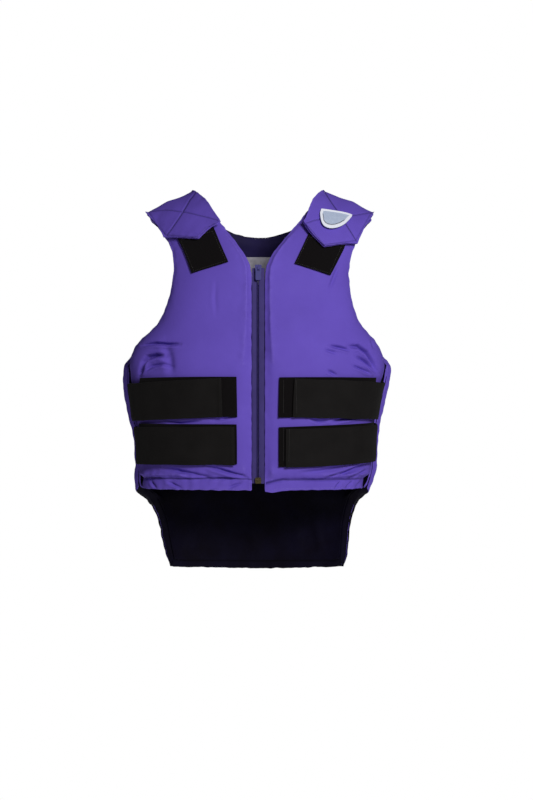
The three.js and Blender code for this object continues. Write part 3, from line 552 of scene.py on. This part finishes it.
def swell(piece, pinned, rest, normals):
    """Fills the padding with air: a cloth run with pressure, held at its seams."""
    write_points(piece.data, rest - normals * TUCK)
    group = piece.vertex_groups.new(name="seams")
    group.add([int(i) for i in np.nonzero(pinned)[0]], 1.0, "REPLACE")
    cloth = piece.modifiers.new("filling", "CLOTH")
    cloth.settings.quality = 4
    cloth.settings.mass = 0.25
    cloth.settings.tension_stiffness = 12
    cloth.settings.compression_stiffness = 12
    cloth.settings.bending_stiffness = 0.4
    cloth.settings.use_pressure = True
    cloth.settings.uniform_pressure_force = 4
    cloth.settings.effector_weights.gravity = 0
    cloth.settings.vertex_group_mass = "seams"
    cloth.point_cache.frame_start = 1
    cloth.point_cache.frame_end = FILL_STEPS
    for step in range(1, FILL_STEPS + 1):
        bpy.context.scene.frame_set(step)
    settle(piece)
    piece.vertex_groups.clear()
    bpy.context.scene.frame_set(1)
    return read_points(piece.data)


# A slide is full up to the shoulder and fades out behind it: where it ends, and over how far.
SLIDE_END = 30 * MM
SLIDE_FADE = 50 * MM
# How far back a flap goes for each mm that it slides outward and upward.
FLAP_SLOPE = (0.45, 1.1)


def slide(points, corners, slope=None):
    """Slides a piece over the front. corners are front-view places and how far each one goes (mm).

    Without a slope the piece keeps its height over the front's own surface.
    """
    corners = np.array(corners, float)
    flat = front_view(points) / MM
    pull = 1 / (np.linalg.norm(flat[:, None] - corners[None, :, :2], axis=2) + 4) ** 2
    move = (pull[:, :, None] * corners[None, :, 2:]).sum(1) / pull.sum(1)[:, None]
    move *= MM
    forward = np.clip((SLIDE_END - points[:, 1]) / SLIDE_FADE, 0, 1)
    move[:, 1] *= forward
    moved = points.copy()
    moved[:, 0] += move[:, 0]
    moved[:, 2] += move[:, 1]
    if slope:
        moved[:, 1] += forward * slope[0] * np.sign(points[:, 0]) * move[:, 0] + slope[1] * move[:, 1]
        return moved
    for before, after in zip(points, moved):
        ahead = [PANELS.ray_cast(Vector((p[0], -1, p[2])), Vector((0, 1, 0)))[0] for p in (before, after)]
        if None not in ahead:
            after[1] += ahead[1].y - ahead[0].y
    return moved


def padded_piece(
    name, node, shape_folds, weave, levels=(1, 1, 1), inner=None, tips=(), corners=None, lift=0.0
):
    """Dresses a padded node: its pattern, filled, then rounded and folded.

    levels are the roundings before the filling, after it with sharp seams, and after it with soft ones.
    tips are the front-view places of corners that stay pointed.
    """
    bm = pattern_of(node)
    if tips:
        pointed = bm.verts.layers.float.new("crease_vert")
        spots = front_view(np.array([v.co for v in bm.verts]))
        for tip in tips:
            gaps = np.hypot(*(spots - np.array(tip) * MM).T)
            for index, vert in enumerate(bm.verts):
                if gaps[index] < gaps.min() + 3 * MM:
                    vert[pointed] = 1.0
    piece = new_piece(name, bm, SHELL)
    subdivide(piece, levels[0])
    mesh = piece.data
    rest, normals = read_points(mesh), read_normals(mesh)
    seams = sharp_points(mesh)
    pinned = np.zeros(len(rest), bool)
    pinned[seams] = True
    filled = swell(piece, pinned, rest, normals)
    mesh = piece.data
    rise = np.einsum("ij,ij->i", filled - rest, normals)
    rise = np.clip(rise, -TUCK, room(rest))
    rise[seams] = 0
    write_points(mesh, rest + normals * rise[:, None])
    subdivide(piece, levels[1])
    mesh = piece.data
    points = read_points(mesh)
    seam_points = points[sharp_points(mesh)]
    for layer in ("crease_edge", "crease_vert"):
        if layer in mesh.attributes:
            mesh.attributes.remove(mesh.attributes[layer])
    subdivide(piece, levels[2])
    mesh = piece.data
    rest, normals = read_points(mesh), read_normals(mesh)
    seam_gap = edge_distance(rest, seam_points)
    worn = lean(rest, lift)
    if corners:
        worn = slide(worn, corners, FLAP_SLOPE)
    rise, line = shape_folds(worn, normals, seam_gap)
    rise = np.clip(rise, -DEEPEST_FOLD, room(rest))
    write_points(mesh, worn + normals * rise[:, None])
    # seam marks where the shell is paler from wear and a painted highlight.
    store(mesh, "seam", near(seam_gap, 2.5))
    # line is painted shade along seams and creases, which darkens the shell.
    store(mesh, "line", line)
    store(mesh, "weave", weave(rest))
    if inner:
        mesh.materials.append(LINING)
        slots = np.array([inner(Vector(p.center), Vector(p.normal)) for p in mesh.polygons], np.int32)
        mesh.polygons.foreach_set("material_index", slots)
    mesh.shade_smooth()
    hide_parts(node)
    return piece


def fold(points, facing, line, depth, width, lip, taper=0.7):
    """A crease along a line of the front view, with a lip along one side; depth and width in mm."""
    gap, side, share = along_line(front_view(points), line)
    fade = np.sin(np.pi * np.clip(share, 0.02, 0.98)) ** taper
    wide = width * MM
    ridge = lip * np.exp(-(((side * gap - 1.7 * wide) / (1.1 * wide)) ** 2))
    return (ridge - bell(gap, width)) * depth * MM * fade * facing


def along_line(flat, line):
    """Distance to a line, which side of it, and how far along it."""
    spots = np.array(line, float) * MM
    lengths = np.hypot(*(spots[1:] - spots[:-1]).T)
    best = np.full(len(flat), 1e9)
    side = np.zeros(len(flat))
    share = np.zeros(len(flat))
    run = 0.0
    for start, end, length in zip(spots[:-1], spots[1:], lengths):
        way = (end - start) / length
        along = np.clip((flat - start) @ way, 0, length)
        off = flat - start - along[:, None] * way
        gap = np.hypot(off[:, 0], off[:, 1])
        nearer = gap < best
        best = np.where(nearer, gap, best)
        side = np.where(nearer, np.sign(off[:, 0] * way[1] - off[:, 1] * way[0]), side)
        share = np.where(nearer, (run + along) / lengths.sum(), share)
        run += length
    return best, side, share


def drawn(points, facing, line, width):
    """How strongly a seam line marks each point, used for its painted shade and for how far it is pressed
    in.
    """
    return facing * bell(along_line(front_view(points), line)[0], width)


def ripple(points, size, seed, stretch=(1, 1, 1)):
    """Smooth unevenness between about -1 and 1, with bumps of the given size (m)."""
    offset = Vector((seed * 3.7, seed * 1.3, seed * 2.1))
    scale = Vector(stretch) / size
    return np.array([
        noise.noise(Vector((p[0] * scale.x, p[1] * scale.y, p[2] * scale.z)) + offset) for p in points
    ])


def around(points):
    """Cloth coordinates that run round the body and up it."""
    turn = np.arctan2(points[:, 0], -points[:, 1])
    return np.stack([turn * 150 * MM, points[:, 2], np.zeros(len(points))], 1)


def over(points):
    """Cloth coordinates that run across a shoulder and over it."""
    turn = np.arctan2(points[:, 2] + 60 * MM, points[:, 1])
    return np.stack([points[:, 0], turn * 100 * MM, np.zeros(len(points))], 1)


# Creases of the front: front-view line (mm), depth and width. They are pressed in deeper and
# sharper than drawn, by the two factors.
CREASE_DEPTH = 2.1
CREASE_WIDTH = 0.8
FRONT_CREASES = {
    "right": [
        (
            [(-184.6, -250.6), (-177.9, -229.9), (-172.1, -222.4), (-158.9, -219.3), (-145.2, -219.5)],
            5.0, 4.0,
        ),
        ([(-180.6, -203.1), (-160.4, -200.7), (-140.3, -202.3), (-121.7, -201.5)], 3.4, 3.0),
        ([(-143.4, -201.5), (-138.7, -223.2), (-134.1, -249.6)], 2.0, 8.0),
        ([(-179.0, -244.9), (-165.1, -235.6), (-148.0, -232.5), (-134.1, -237.2)], 2.2, 3.0),
        ([(-144.9, -320.9), (-121.7, -325.5), (-90.7, -320.9)], 3.0, 2.6),
        ([(-72.1, -320.9), (-53.5, -317.8), (-34.9, -313.1)], 1.6, 2.6),
        ([(-148.0, -393.7), (-113.9, -399.9), (-75.2, -409.2)], 2.6, 3.2),
        ([(-80.0, -390.6), (-44.2, -401.4), (-17.8, -408.7)], 3.2, 3.2),
        ([(-127.9, -398.4), (-104.6, -406.1)], 2.0, 2.6),
        ([(-168.2, -412.3), (-158.9, -424.7)], 1.6, 2.6),
        ([(-140.3, -415.4), (-120.1, -424.7)], 1.6, 2.6),
        ([(-47.3, -424.7), (-27.1, -416.9)], 1.4, 2.6),
        ([(-65.9, -102.3), (-67.4, -130.2), (-65.9, -156.6)], 0.4, 4.0),
    ],
    "left": [
        ([(139.7, -205.1), (154.8, -205.8), (168.2, -215.1), (178.2, -231.9), (185.1, -247.1)], 4.6, 3.6),
        ([(111.1, -204.1), (127.9, -207.5), (143.1, -211.7)], 3.0, 3.0),
        ([(151.4, -220.1), (164.9, -228.5), (175.0, -238.5), (181.7, -247.1)], 3.4, 3.0),
        ([(146.5, -234.4), (161.5, -241.2), (173.3, -247.1)], 2.4, 2.6),
        ([(102.8, -210.0), (121.2, -215.9)], 1.6, 3.0),
        ([(107.7, -242.7), (121.2, -250.3)], 2.2, 3.0),
        ([(175.0, -193.3), (180.0, -208.3)], 1.5, 3.0),
        ([(80.9, -317.6), (94.4, -322.6), (109.3, -319.3)], 2.8, 2.6),
        ([(114.5, -322.6), (131.3, -318.4), (154.8, -314.2)], 3.0, 2.6),
        ([(169.7, -386.4), (138.0, -399.9), (104.5, -410.0)], 3.2, 3.4),
        ([(168.2, -396.5), (154.2, -404.6), (138.0, -410.0)], 2.6, 2.8),
        ([(134.1, -390.6), (95.3, -398.4), (64.3, -401.4)], 1.8, 4.0),
        ([(129.4, -413.2), (117.8, -426.7)], 1.6, 2.6),
        ([(146.5, -413.2), (134.7, -426.7)], 1.6, 2.6),
        ([(161.5, -411.7), (151.4, -425.0)], 1.6, 2.6),
        ([(124.6, -80.6), (115.9, -102.3), (110.2, -116.2)], 1.6, 4.0),
    ],
}
HEM_SEAMS = {
    "right": [(-190, -409), (-182.1, -409.2), (-121.7, -410.8), (-17.8, -410.8), (-4, -412.3)],
    "left": [
        (4, -419.5), (8.5, -418.5), (37.2, -412.5), (87.6, -412.5), (134.1, -411.5), (169.7, -410.0),
        (180, -409),
    ],
}


def front_folds(side):
    def shape(points, normals, seam_gap):
        facing = np.clip(-normals[:, 1] * 1.6, 0, 1)
        rise = np.zeros(len(points))
        for line, depth, width in FRONT_CREASES[side]:
            rise += fold(points, facing, line, CREASE_DEPTH * depth, CREASE_WIDTH * width, 0.35, 0.65)
        inward = np.clip(seam_gap / (20 * MM), 0, 1)
        rise += 0.5 * MM * ripple(points, 45 * MM, 1) * inward
        rise += 1.2 * MM * near(seam_gap, 9) * ripple(points, 10 * MM, 2)
        away = along_line(front_view(points), HEM_SEAMS[side])[0]
        shadow = np.clip(0.75 + ripple(points, 40 * MM, 6), 0.25, 1.3)
        rise -= 3.6 * MM * shadow * bell(away, 2.2) * facing
        rise += 1.5 * MM * bell(away, 13) * ripple(points, 11 * MM, 5, (1, 1, 0.45)) * facing
        # The hem seam gets painted shade, stored as line.
        return rise, facing * bell(away, 1)
    return shape


# Heights of the back's two cross seams (mm).
BACK_SEAMS = (-150.0, -420.0)


def back_folds(points, normals, seam_gap):
    facing = np.clip(normals[:, 1] * 1.6, 0, 1)
    rise = 0.6 * MM * ripple(points, 50 * MM, 7) * np.clip(seam_gap / (20 * MM), 0, 1)
    rise += 1.3 * MM * near(seam_gap, 11) * ripple(points, 10 * MM, 8)
    line = np.zeros(len(points))
    for level in BACK_SEAMS:
        away = np.abs(points[:, 2] - level * MM)
        rise -= 2.4 * MM * facing * bell(away, 3)
        rise += 1.2 * MM * bell(away, 14) * ripple(points, 12 * MM, 9, (1, 1, 0.4)) * facing
        # Painted shade along the back's seams.
        line = np.maximum(line, facing * bell(away, 1.2))
    return rise, line


# The flaps on the front view (mm): crossed stitch lines, with the one painted in darker shade first.
FLAP_CREASES = {
    "right": [
        [(-96.4, 34.1), (-106.5, 22.6), (-120.9, -1.9), (-135.2, -23.2), (-142.3, -33.3)],
        [(-60.6, -10.4), (-77.8, -5.4), (-113.6, 3.1), (-145.2, 6.8), (-171.3, 3.9)],
    ],
    "left": [
        [(101.5, 36.9), (110.2, 23.2), (124.6, 2.5), (140.3, -22.6), (151.9, -41.9)],
        [(71.5, -14.7), (87.3, -9.0), (112.4, -5.4), (137.5, -3.1), (177.5, 3.1)],
    ],
}
# Corners that stay pointed.
FLAP_TIPS = {
    "right": [(-100.0, 37.7), (-174.7, 3.3), (-146.6, -36.3), (-92.2, -39.2), (-58.4, -12.6)],
    "left": [(100.9, 38.3), (179.0, 3.3), (154.1, -45.6), (100.9, -51.3), (69.3, -15.5)],
}
# Where each corner of a flap hangs: its place on the front view and how far it slides.
FLAP_CORNERS = {
    "right": [
        (-100.3, 35.3, 0.3, 1.5), (-174.5, 4.3, 0, -1.2), (-151.4, -38.0, 4.8, 2.0),
        (-103.7, -37.2, 11.8, -2.2), (-66.3, -0.6, 7.0, -11.8), (-140.0, 15.0, -1.0, 6.0),
    ],
    "left": [
        (104.8, 36.3, -3.6, 1.5), (179.8, 3.6, 0, -0.9), (161.8, -45.6, -7.6, -0.6),
        (107.3, -48.2, -6.0, -3.9), (64.6, -4.7, 5.0, -9.3), (145.0, 15.0, 1.0, 6.0),
    ],
}
# The same for the loop patches under the flaps.
PATCH_CORNERS = {
    "right": [
        (-106.0, -88.0, 4.2, -3.0), (-55.0, -70.0, 9.0, -3.4),
        (-128.0, -38.0, 4.2, -3.0), (-75.0, -22.0, 9.0, -3.4),
    ],
    "left": [
        (60.0, -70.0, -2.6, -6.0), (114.0, -88.0, -3.0, -6.0),
        (80.0, -28.0, -2.6, -6.0), (134.0, -42.0, -3.0, -6.0),
    ],
}
# The row of stitches inside a flap's lower edge.
FLAP_ROWS = {
    "right": [(-170.5, 2.3), (-144.6, -32.6), (-92.8, -35.5), (-63.6, -13.2)],
    "left": [(174.4, 2.3), (151.1, -41.2), (101.8, -47.1), (74.2, -15.5)],
}


def flap_folds(side):
    def shape(points, normals, seam_gap):
        top = np.clip((normals[:, 2] - normals[:, 1]) * 0.9, 0, 1)
        rise = np.zeros(len(points))
        line = np.zeros(len(points))
        for crease, dark in zip(FLAP_CREASES[side], (1.1, 0.6)):
            rise += fold(points, top, crease, 1.1, 1.3, 0.1, 0.25)
            # Painted shade along the crossed stitch lines and the row inside the lower edge.
            line = np.maximum(line, dark * drawn(points, top, crease, 0.8))
        rise -= 0.7 * MM * drawn(points, top, FLAP_ROWS[side], 1.2)
        line = np.maximum(line, 0.6 * drawn(points, top, FLAP_ROWS[side], 0.6))
        rise += 0.8 * MM * ripple(points, 22 * MM, 11) * top
        rise += 0.8 * MM * near(seam_gap, 8) * ripple(points, 9 * MM, 12)
        return rise, line
    return shape


def off_body(centre):
    """Which way is away from the body at a place."""
    return Vector((centre.x, centre.y * 1.6, 0)).normalized()


def inside(centre, normal):
    """1 where a face shows lining: all that faces the body."""
    return 1 if normal.dot(off_body(centre)) < -0.35 else 0


# The back's bound edges: the tail below this height, and the neck above this one and so far out.
TAIL_EDGE = -425 * MM
NECK_EDGE = -70 * MM
NECK_HALF_WIDTH = 68 * MM


def inside_back(centre, normal):
    """The back is also lined on the bound edges of its neck and tail."""
    bound = centre.z < TAIL_EDGE or (centre.z > NECK_EDGE and abs(centre.x) < NECK_HALF_WIDTH)
    if bound and normal.dot(off_body(centre)) < 0.45:
        return 1
    return inside(centre, normal)


dressed = {}
for side in SIDES:
    dressed[f"front_{side}"] = padded_piece(
        f"front_pad_{side}", f"front_panel_{side}", front_folds(side), around, (1, 1, 2),
        inner=inside, lift=HEM_LIFT,
    )
    dressed[f"flap_{side}"] = padded_piece(
        f"shoulder_cover_{side}", f"shoulder_flap_{side}", flap_folds(side), over, (2, 1, 1),
        tips=FLAP_TIPS[side], corners=FLAP_CORNERS[side],
    )
dressed["back"] = padded_piece("back_pad", "back_panel", back_folds, around, inner=inside_back)

# Thin pieces


def layer_piece(
    name, node, material, edge, levels, shape=None, weave=around, corners=None, slope=None, cut=None
):
    """Dresses a thin node: its pattern with softened cut edges, then worn into shape.

    edge is how wide (mm) a cut edge is rounded. cut is how far out (mm, with its side's sign) a strip
    that runs on under a strap is cut off.
    """
    bm = pattern_of(node)
    crease = bm.edges.layers.float["crease_edge"]
    if cut:
        made = bmesh.ops.bisect_plane(
            bm,
            geom=[*bm.verts, *bm.edges, *bm.faces],
            plane_co=(cut * MM, 0, 0),
            plane_no=(math.copysign(1, cut), 0, 0),
            clear_outer=True,
        )
        rim = [e for e in made["geom_cut"] if isinstance(e, bmesh.types.BMEdge)]
        bmesh.ops.contextual_create(bm, geom=rim)
        for rim_edge in rim:
            rim_edge[crease] = 1.0
    sharp = [e for e in bm.edges if e[crease] > 0.5]
    outline = [e.verts[0].co.lerp(e.verts[1].co, step / 12) for e in sharp for step in range(13)]
    for edge_line in sharp:
        edge_line[crease] = 0.0
    bmesh.ops.bevel(
        bm, geom=sharp, offset=edge * MM, segments=2, profile=0.5, affect="EDGES", clamp_overlap=True
    )
    piece = new_piece(name, bm, material)
    subdivide(piece, levels)
    mesh = piece.data
    rest = read_points(mesh)
    gap = edge_distance(rest, outline)
    worn = lean(rest)
    if corners:
        worn = slide(worn, corners, slope)
    if shape:
        worn = worn + shape(worn, gap)
    write_points(mesh, worn)
    store(mesh, "rim", gap / MM)
    store(mesh, "weave", weave(rest))
    mesh.shade_smooth()
    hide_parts(node)
    return piece


def outward(points):
    """Which way is away from the body."""
    way = np.stack([points[:, 0], points[:, 1] * 1.6, np.zeros(len(points))], 1)
    return way / np.linalg.norm(way, axis=1)[:, None]


def strap_shape(seed):
    def shape(points, gap):
        """Pulled elastic: a slow wave off the patch and edges that run a little uneven."""
        wave = np.clip(ripple(points, 42 * MM, seed, (1, 1, 0.6)) + 0.35, 0, 1)
        far = np.abs(points[:, 0])
        folded = 0.8 * np.clip((far.min() + 7 * MM - far) / (1.5 * MM), 0, 1)
        move = outward(points) * (MM * (1.3 * wave * np.clip(gap / (6 * MM), 0.15, 1) + folded))[:, None]
        move[:, 2] += 1.0 * MM * ripple(points, 38 * MM, seed + 4, (1, 1, 0.1))
        return move
    return shape


# How far out (mm) the loop strips end, hidden under the straps.
LOOP_CUT = {"right": -177, "left": 182}

for column, side in enumerate(SIDES):
    for level, row in enumerate(ROWS):
        name = f"side_strap_{row}_{side}"
        shape = strap_shape(20 + 7 * column + 3 * level)
        dressed[name] = layer_piece(f"elastic_{row}_{side}", name, ELASTIC, 0.6, 3, shape)
        name = f"side_loop_{row}_{side}"
        dressed[name] = layer_piece(
            f"loop_strip_{row}_{side}", name, LOOP, 0.3, 2, cut=LOOP_CUT[side]
        )
    name = f"shoulder_loop_{side}"
    dressed[name] = layer_piece(
        f"loop_patch_{side}", name, LOOP, 0.3, 2, corners=PATCH_CORNERS[side]
    )
    layer_piece(f"zip_ribbon_{side}", f"zip_tape_{side}", TAPE, 0.2, 2)

# Soft folds of the lining: neck, then tail (front-view line, depth and width in mm). The depth
# is negative where cloth stands up.
LINING_FOLDS = [
    ([(-45, -22), (-15, -36), (20, -30)], -2.2, 5.0),
    ([(-30, -45), (5, -56), (40, -44)], -1.8, 5.0),
    ([(44.2, -452.6), (58.1, -489.8), (67.4, -530.1)], -3.0, 6.0),
    ([(82.9, -451.1), (92.2, -489.8), (98.4, -530.1)], -3.0, 5.0),
    ([(-84.5, -451.1), (-96.9, -489.8), (-106.2, -530.1)], -2.6, 6.0),
    ([(-13.2, -474.3), (-7.0, -513.1), (-10.1, -539.4)], -2.0, 7.0),
]


def lining_shape(points, gap):
    """The lining stands off the padding in soft folds, held at its edges."""
    rise = np.zeros(len(points))
    for line, depth, width in LINING_FOLDS:
        rise += fold(points, 1.0, line, depth, width, 0.0)
    rise += 0.8 * MM * np.clip(ripple(points, 30 * MM, 31, (1, 1, 0.5)), 0, 1)
    rise *= np.clip((gap - 1.5 * MM) / (12 * MM), 0, 1)
    # It lies flat behind the neck label.
    beside = np.maximum(np.abs(points[:, 0]) - 32 * MM, np.abs(points[:, 2] + 83 * MM) - 24 * MM)
    rise *= np.clip(beside / (12 * MM), 0, 1)
    return -outward(points) * np.clip(rise, 0, 5 * MM)[:, None]


lining = layer_piece("lining_sheet", "back_lining", LINING, 0.25, 2, lining_shape)


def label_shape(points, gap):
    """A satin label that curls a little between its stitches."""
    move = np.zeros((len(points), 3))
    move[:, 1] = -0.8 * MM * np.clip(ripple(points, 16 * MM, 41) + 0.4, 0, 1) * np.clip(gap / (4 * MM), 0, 1)
    return move


layer_piece("satin_label", "neck_label", LABEL, 0.2, 3, label_shape, over)

# The badge's straight side on the front view, its depth and how far its arc hangs down (mm).
BADGE_TOP = [(99.0, 7.0), (149.0, -7.0)]
BADGE_DEPTH = 24.0
BADGE_DROP = 5.5


def badge_shape(points, gap):
    """The badge's arc hangs lower down the flap."""
    down = np.clip(along_line(front_view(points), BADGE_TOP)[0] / (BADGE_DEPTH * MM), 0, 1)
    drop = -BADGE_DROP * MM * down
    return np.stack([0 * drop, FLAP_SLOPE[1] * drop, drop], 1)


badge = layer_piece(
    "woven_badge", "shoulder_badge", BADGE, 0.3, 3, badge_shape, over,
    FLAP_CORNERS["left"], FLAP_SLOPE,
)
store(badge.data, "top", along_line(front_view(read_points(badge.data)), BADGE_TOP)[0] / MM)

# Zip coil

chain = read_points(NODES["zip_chain"].data)
CHAIN_LEVELS = np.unique(np.round(chain[:, 2], 4))
CHAIN_DEPTH = []
for z in CHAIN_LEVELS:
    depths = chain[abs(chain[:, 2] - z) < 0.2 * MM, 1]
    CHAIN_DEPTH.append((depths.min() + depths.max()) / 2)
COIL_PITCH = 1.55 * MM
# Small bodies are made in batches, because each one takes longer in a big mesh.
BATCH = 24


def pellets(places, length, width, height, segments=6, rings=4):
    """Small rounded bodies, each at its place, along its direction and flat to its facing."""
    whole = bmesh.new()
    for start in range(0, len(places), BATCH):
        batch = bmesh.new()
        for place, way, up in places[start:start + BATCH]:
            across = up.cross(way).normalized()
            turn = Matrix((way, across, way.cross(across))).transposed().to_4x4()
            size = Matrix.Diagonal((length / 2, width / 2, height / 2, 1))
            bmesh.ops.create_uvsphere(
                batch,
                u_segments=segments,
                v_segments=rings,
                radius=1,
                matrix=Matrix.Translation(place) @ turn @ size,
            )
        mesh = bpy.data.meshes.new("batch")
        batch.to_mesh(mesh)
        batch.free()
        whole.from_mesh(mesh)
        bpy.data.meshes.remove(mesh)
    return whole


turns = []
low, high = CHAIN_LEVELS[0] + 1 * MM, CHAIN_LEVELS[-1] - 1 * MM
count = int((high - low) / COIL_PITCH)
for index in range(count):
    z = low + (index + 0.5) * COIL_PITCH
    y = float(np.interp(z, CHAIN_LEVELS, CHAIN_DEPTH))
    for hand in (-1, 1):
        spot = Vector((hand * 1.05 * MM, y, z + hand * 0.25 * COIL_PITCH))
        turns.append((spot, Vector((1, 0, 0.16 * hand)).normalized(), Vector((0, -1, 0))))
coil = pellets(turns, 2.5 * MM, 0.72 * MM, 1.5 * MM, 8, 5)
teeth = new_piece("coil_teeth", coil, COIL)
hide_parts("zip_chain")

# Stitches

STITCH_PITCH = 2.9 * MM


def sew(line, cloth, eye=EYE):
    """Places for a row of stitches along a line (mm) as it is seen from the eye."""
    trail, row = [], []
    for start, end in zip(line[:-1], line[1:]):
        start, end = Vector(start), Vector(end)
        steps = max(2, int((end - start).length / 0.6))
        for step in range(steps):
            spot = start.lerp(end, step / steps)
            way = (Vector((spot[0] * MM, 0, spot[1] * MM)) - eye).normalized()
            place, up, *_ = cloth.ray_cast(eye, way)
            if place is not None:
                trail.append((place, up))
    run, due = 0.0, STITCH_PITCH / 2
    for (here, up), (there, _) in zip(trail[:-1], trail[1:]):
        gap = (there - here).length
        if gap > 4 * MM or gap == 0:
            continue
        run += gap
        if run > due:
            if up.dot(eye - here) < 0:
                up = -up
            row.append((here + up * 0.1 * MM, (there - here) / gap, up))
            due += STITCH_PITCH
    return row


def ring(corners):
    """A closed line a little inside four corners."""
    middle = sum((Vector(c) for c in corners), Vector((0, 0))) / len(corners)
    inner = [Vector(c).lerp(middle, 0.07) for c in corners]
    return [*inner, inner[0]]


def stitches(name, rows, width, material):
    new_piece(name, pellets(rows, 2.0 * MM, width, width), material)


# Rows of stitches on the front view (mm).
HEM_STITCHES = [
    [(-175.9, -426.2), (-121.7, -427.2), (-59.7, -427.2), (-12.4, -426.9)],
    [(17.8, -430.1), (30.2, -426.2), (95.3, -424.7), (166.6, -422.5)],
    [(-14.0, -414.6), (-14.0, -426.2)],
]
STRAP_STITCHES = [
    [(-56.1, -255.0), (-54.2, -308.4)],
    [(-37.5, -327.8), (-31.8, -380.5)],
    [(58.1, -258.1), (59.4, -310.8)],
    [(48.1, -330.9), (47.0, -384.4)],
]
STRIP_STITCHES = [
    [(-31.8, -255.0), (-31.8, -307.7)],
    [(38.8, -257.3), (38.8, -310.0)],
    [(38.8, -331.7), (38.8, -384.4)],
]
PATCH_STITCHES = [
    ring([(-123.2, -39.2), (-70.5, -24.5), (-48.1, -73.3), (-101.4, -90.5)]),
    ring([(76.3, -33.2), (131.6, -47.6), (111.4, -94.2), (56.1, -76.7)]),
]
flaps = joined_tree(dressed[f"flap_{side}"] for side in SIDES)
fronts = joined_tree(dressed[f"front_{side}"] for side in SIDES)
straps = joined_tree(dressed[f"side_strap_{row}_{side}"] for row in ROWS for side in SIDES)
strips = joined_tree(dressed[f"side_loop_{row}_{side}"] for row in ROWS for side in SIDES)
patches = joined_tree(dressed[f"shoulder_loop_{side}"] for side in SIDES)
back = joined_tree([dressed["back"]])

rows = []
for side in SIDES:
    for line in FLAP_CREASES[side]:
        rows += sew(line, flaps)
    rows += sew(FLAP_ROWS[side], flaps)
for seam in BACK_SEAMS:
    for level in (seam + 3, seam - 3):
        rows += sew([(-150, level), (0, level), (150, level)], back, BACK_EYE)
stitches("purple_stitches", rows, 0.42 * MM, PURPLE_THREAD)

rows = []
for line in HEM_STITCHES:
    rows += sew(line, fronts)
stitches("pale_stitches", rows, 0.42 * MM, PALE_THREAD)

rows = []
for lines, cloth in ((STRAP_STITCHES, straps), (STRIP_STITCHES, strips), (PATCH_STITCHES, patches)):
    for line in lines:
        rows += sew(line, cloth)
stitches("black_stitches", rows, 0.5 * MM, BLACK_THREAD)

# Light, floor and camera


def soft_light(name, place, size, power):
    """A round light that looks at the middle of the vest."""
    light = bpy.data.lights.new(name, "AREA")
    light.shape = "DISK"
    light.size = size
    light.energy = power
    lamp = bpy.data.objects.new(name, light)
    lamp.location = place
    way = Vector((0, 0, -0.2)) - Vector(place)
    lamp.rotation_euler = way.to_track_quat("-Z", "Y").to_euler()
    bpy.context.scene.collection.objects.link(lamp)


soft_light("front_softbox", (0.95, -2.55, 0.75), 0.8, 63)
soft_light("side_softbox", (2.2, -2.0, 0.5), 1.4, 2)
soft_light("back_softbox", (0.3, 3.0, 0.5), 1.4, 46)

# The camera sees white, and the cloth gets only a little of it.
world = bpy.data.worlds.new("white_studio")
bpy.context.scene.world = world
world.use_nodes = True
sky = world.node_tree.nodes["Background"]
rays = world.node_tree.nodes.new("ShaderNodeLightPath")
level = world.node_tree.nodes.new("ShaderNodeMapRange")
level.inputs[3].default_value = 0.09
level.inputs[4].default_value = 1.0
world.node_tree.links.new(rays.outputs["Is Camera Ray"], level.inputs[0])
world.node_tree.links.new(level.outputs[0], sky.inputs[1])
sky.inputs[0].default_value = (1, 1, 1, 1)

floor_mesh = bmesh.new()
bmesh.ops.create_circle(floor_mesh, cap_ends=True, segments=64, radius=5)
bmesh.ops.translate(floor_mesh, verts=floor_mesh.verts, vec=(0, 0, -2.2))
mesh = bpy.data.meshes.new("floor")
floor_mesh.to_mesh(mesh)
floor_mesh.free()
floor = bpy.data.objects.new("floor", mesh)
bpy.context.scene.collection.objects.link(floor)
f = Finish("pale_floor")
f.set(
    Base_Color=f.mix(f.noise(f.place(), 0.4), (0.93, 0.93, 0.93, 1), (0.96, 0.96, 0.96, 1)),
    Roughness=0.9,
    Emission_Color=(1, 1, 1, 1),
    Emission_Strength=0.2,
)
mesh.materials.append(f.material)

# The photo's own view: straight from the front, 533 by 800 px.
camera = bpy.data.cameras.new("camera")
camera.lens = 87.1
camera.sensor_width = 36
camera.clip_end = 40
eye = bpy.data.objects.new("camera", camera)
eye.location = EYE
eye.rotation_euler = (math.pi / 2, 0, 0)
bpy.context.scene.collection.objects.link(eye)
bpy.context.scene.camera = eye
bpy.context.scene.view_settings.view_transform = "Standard"
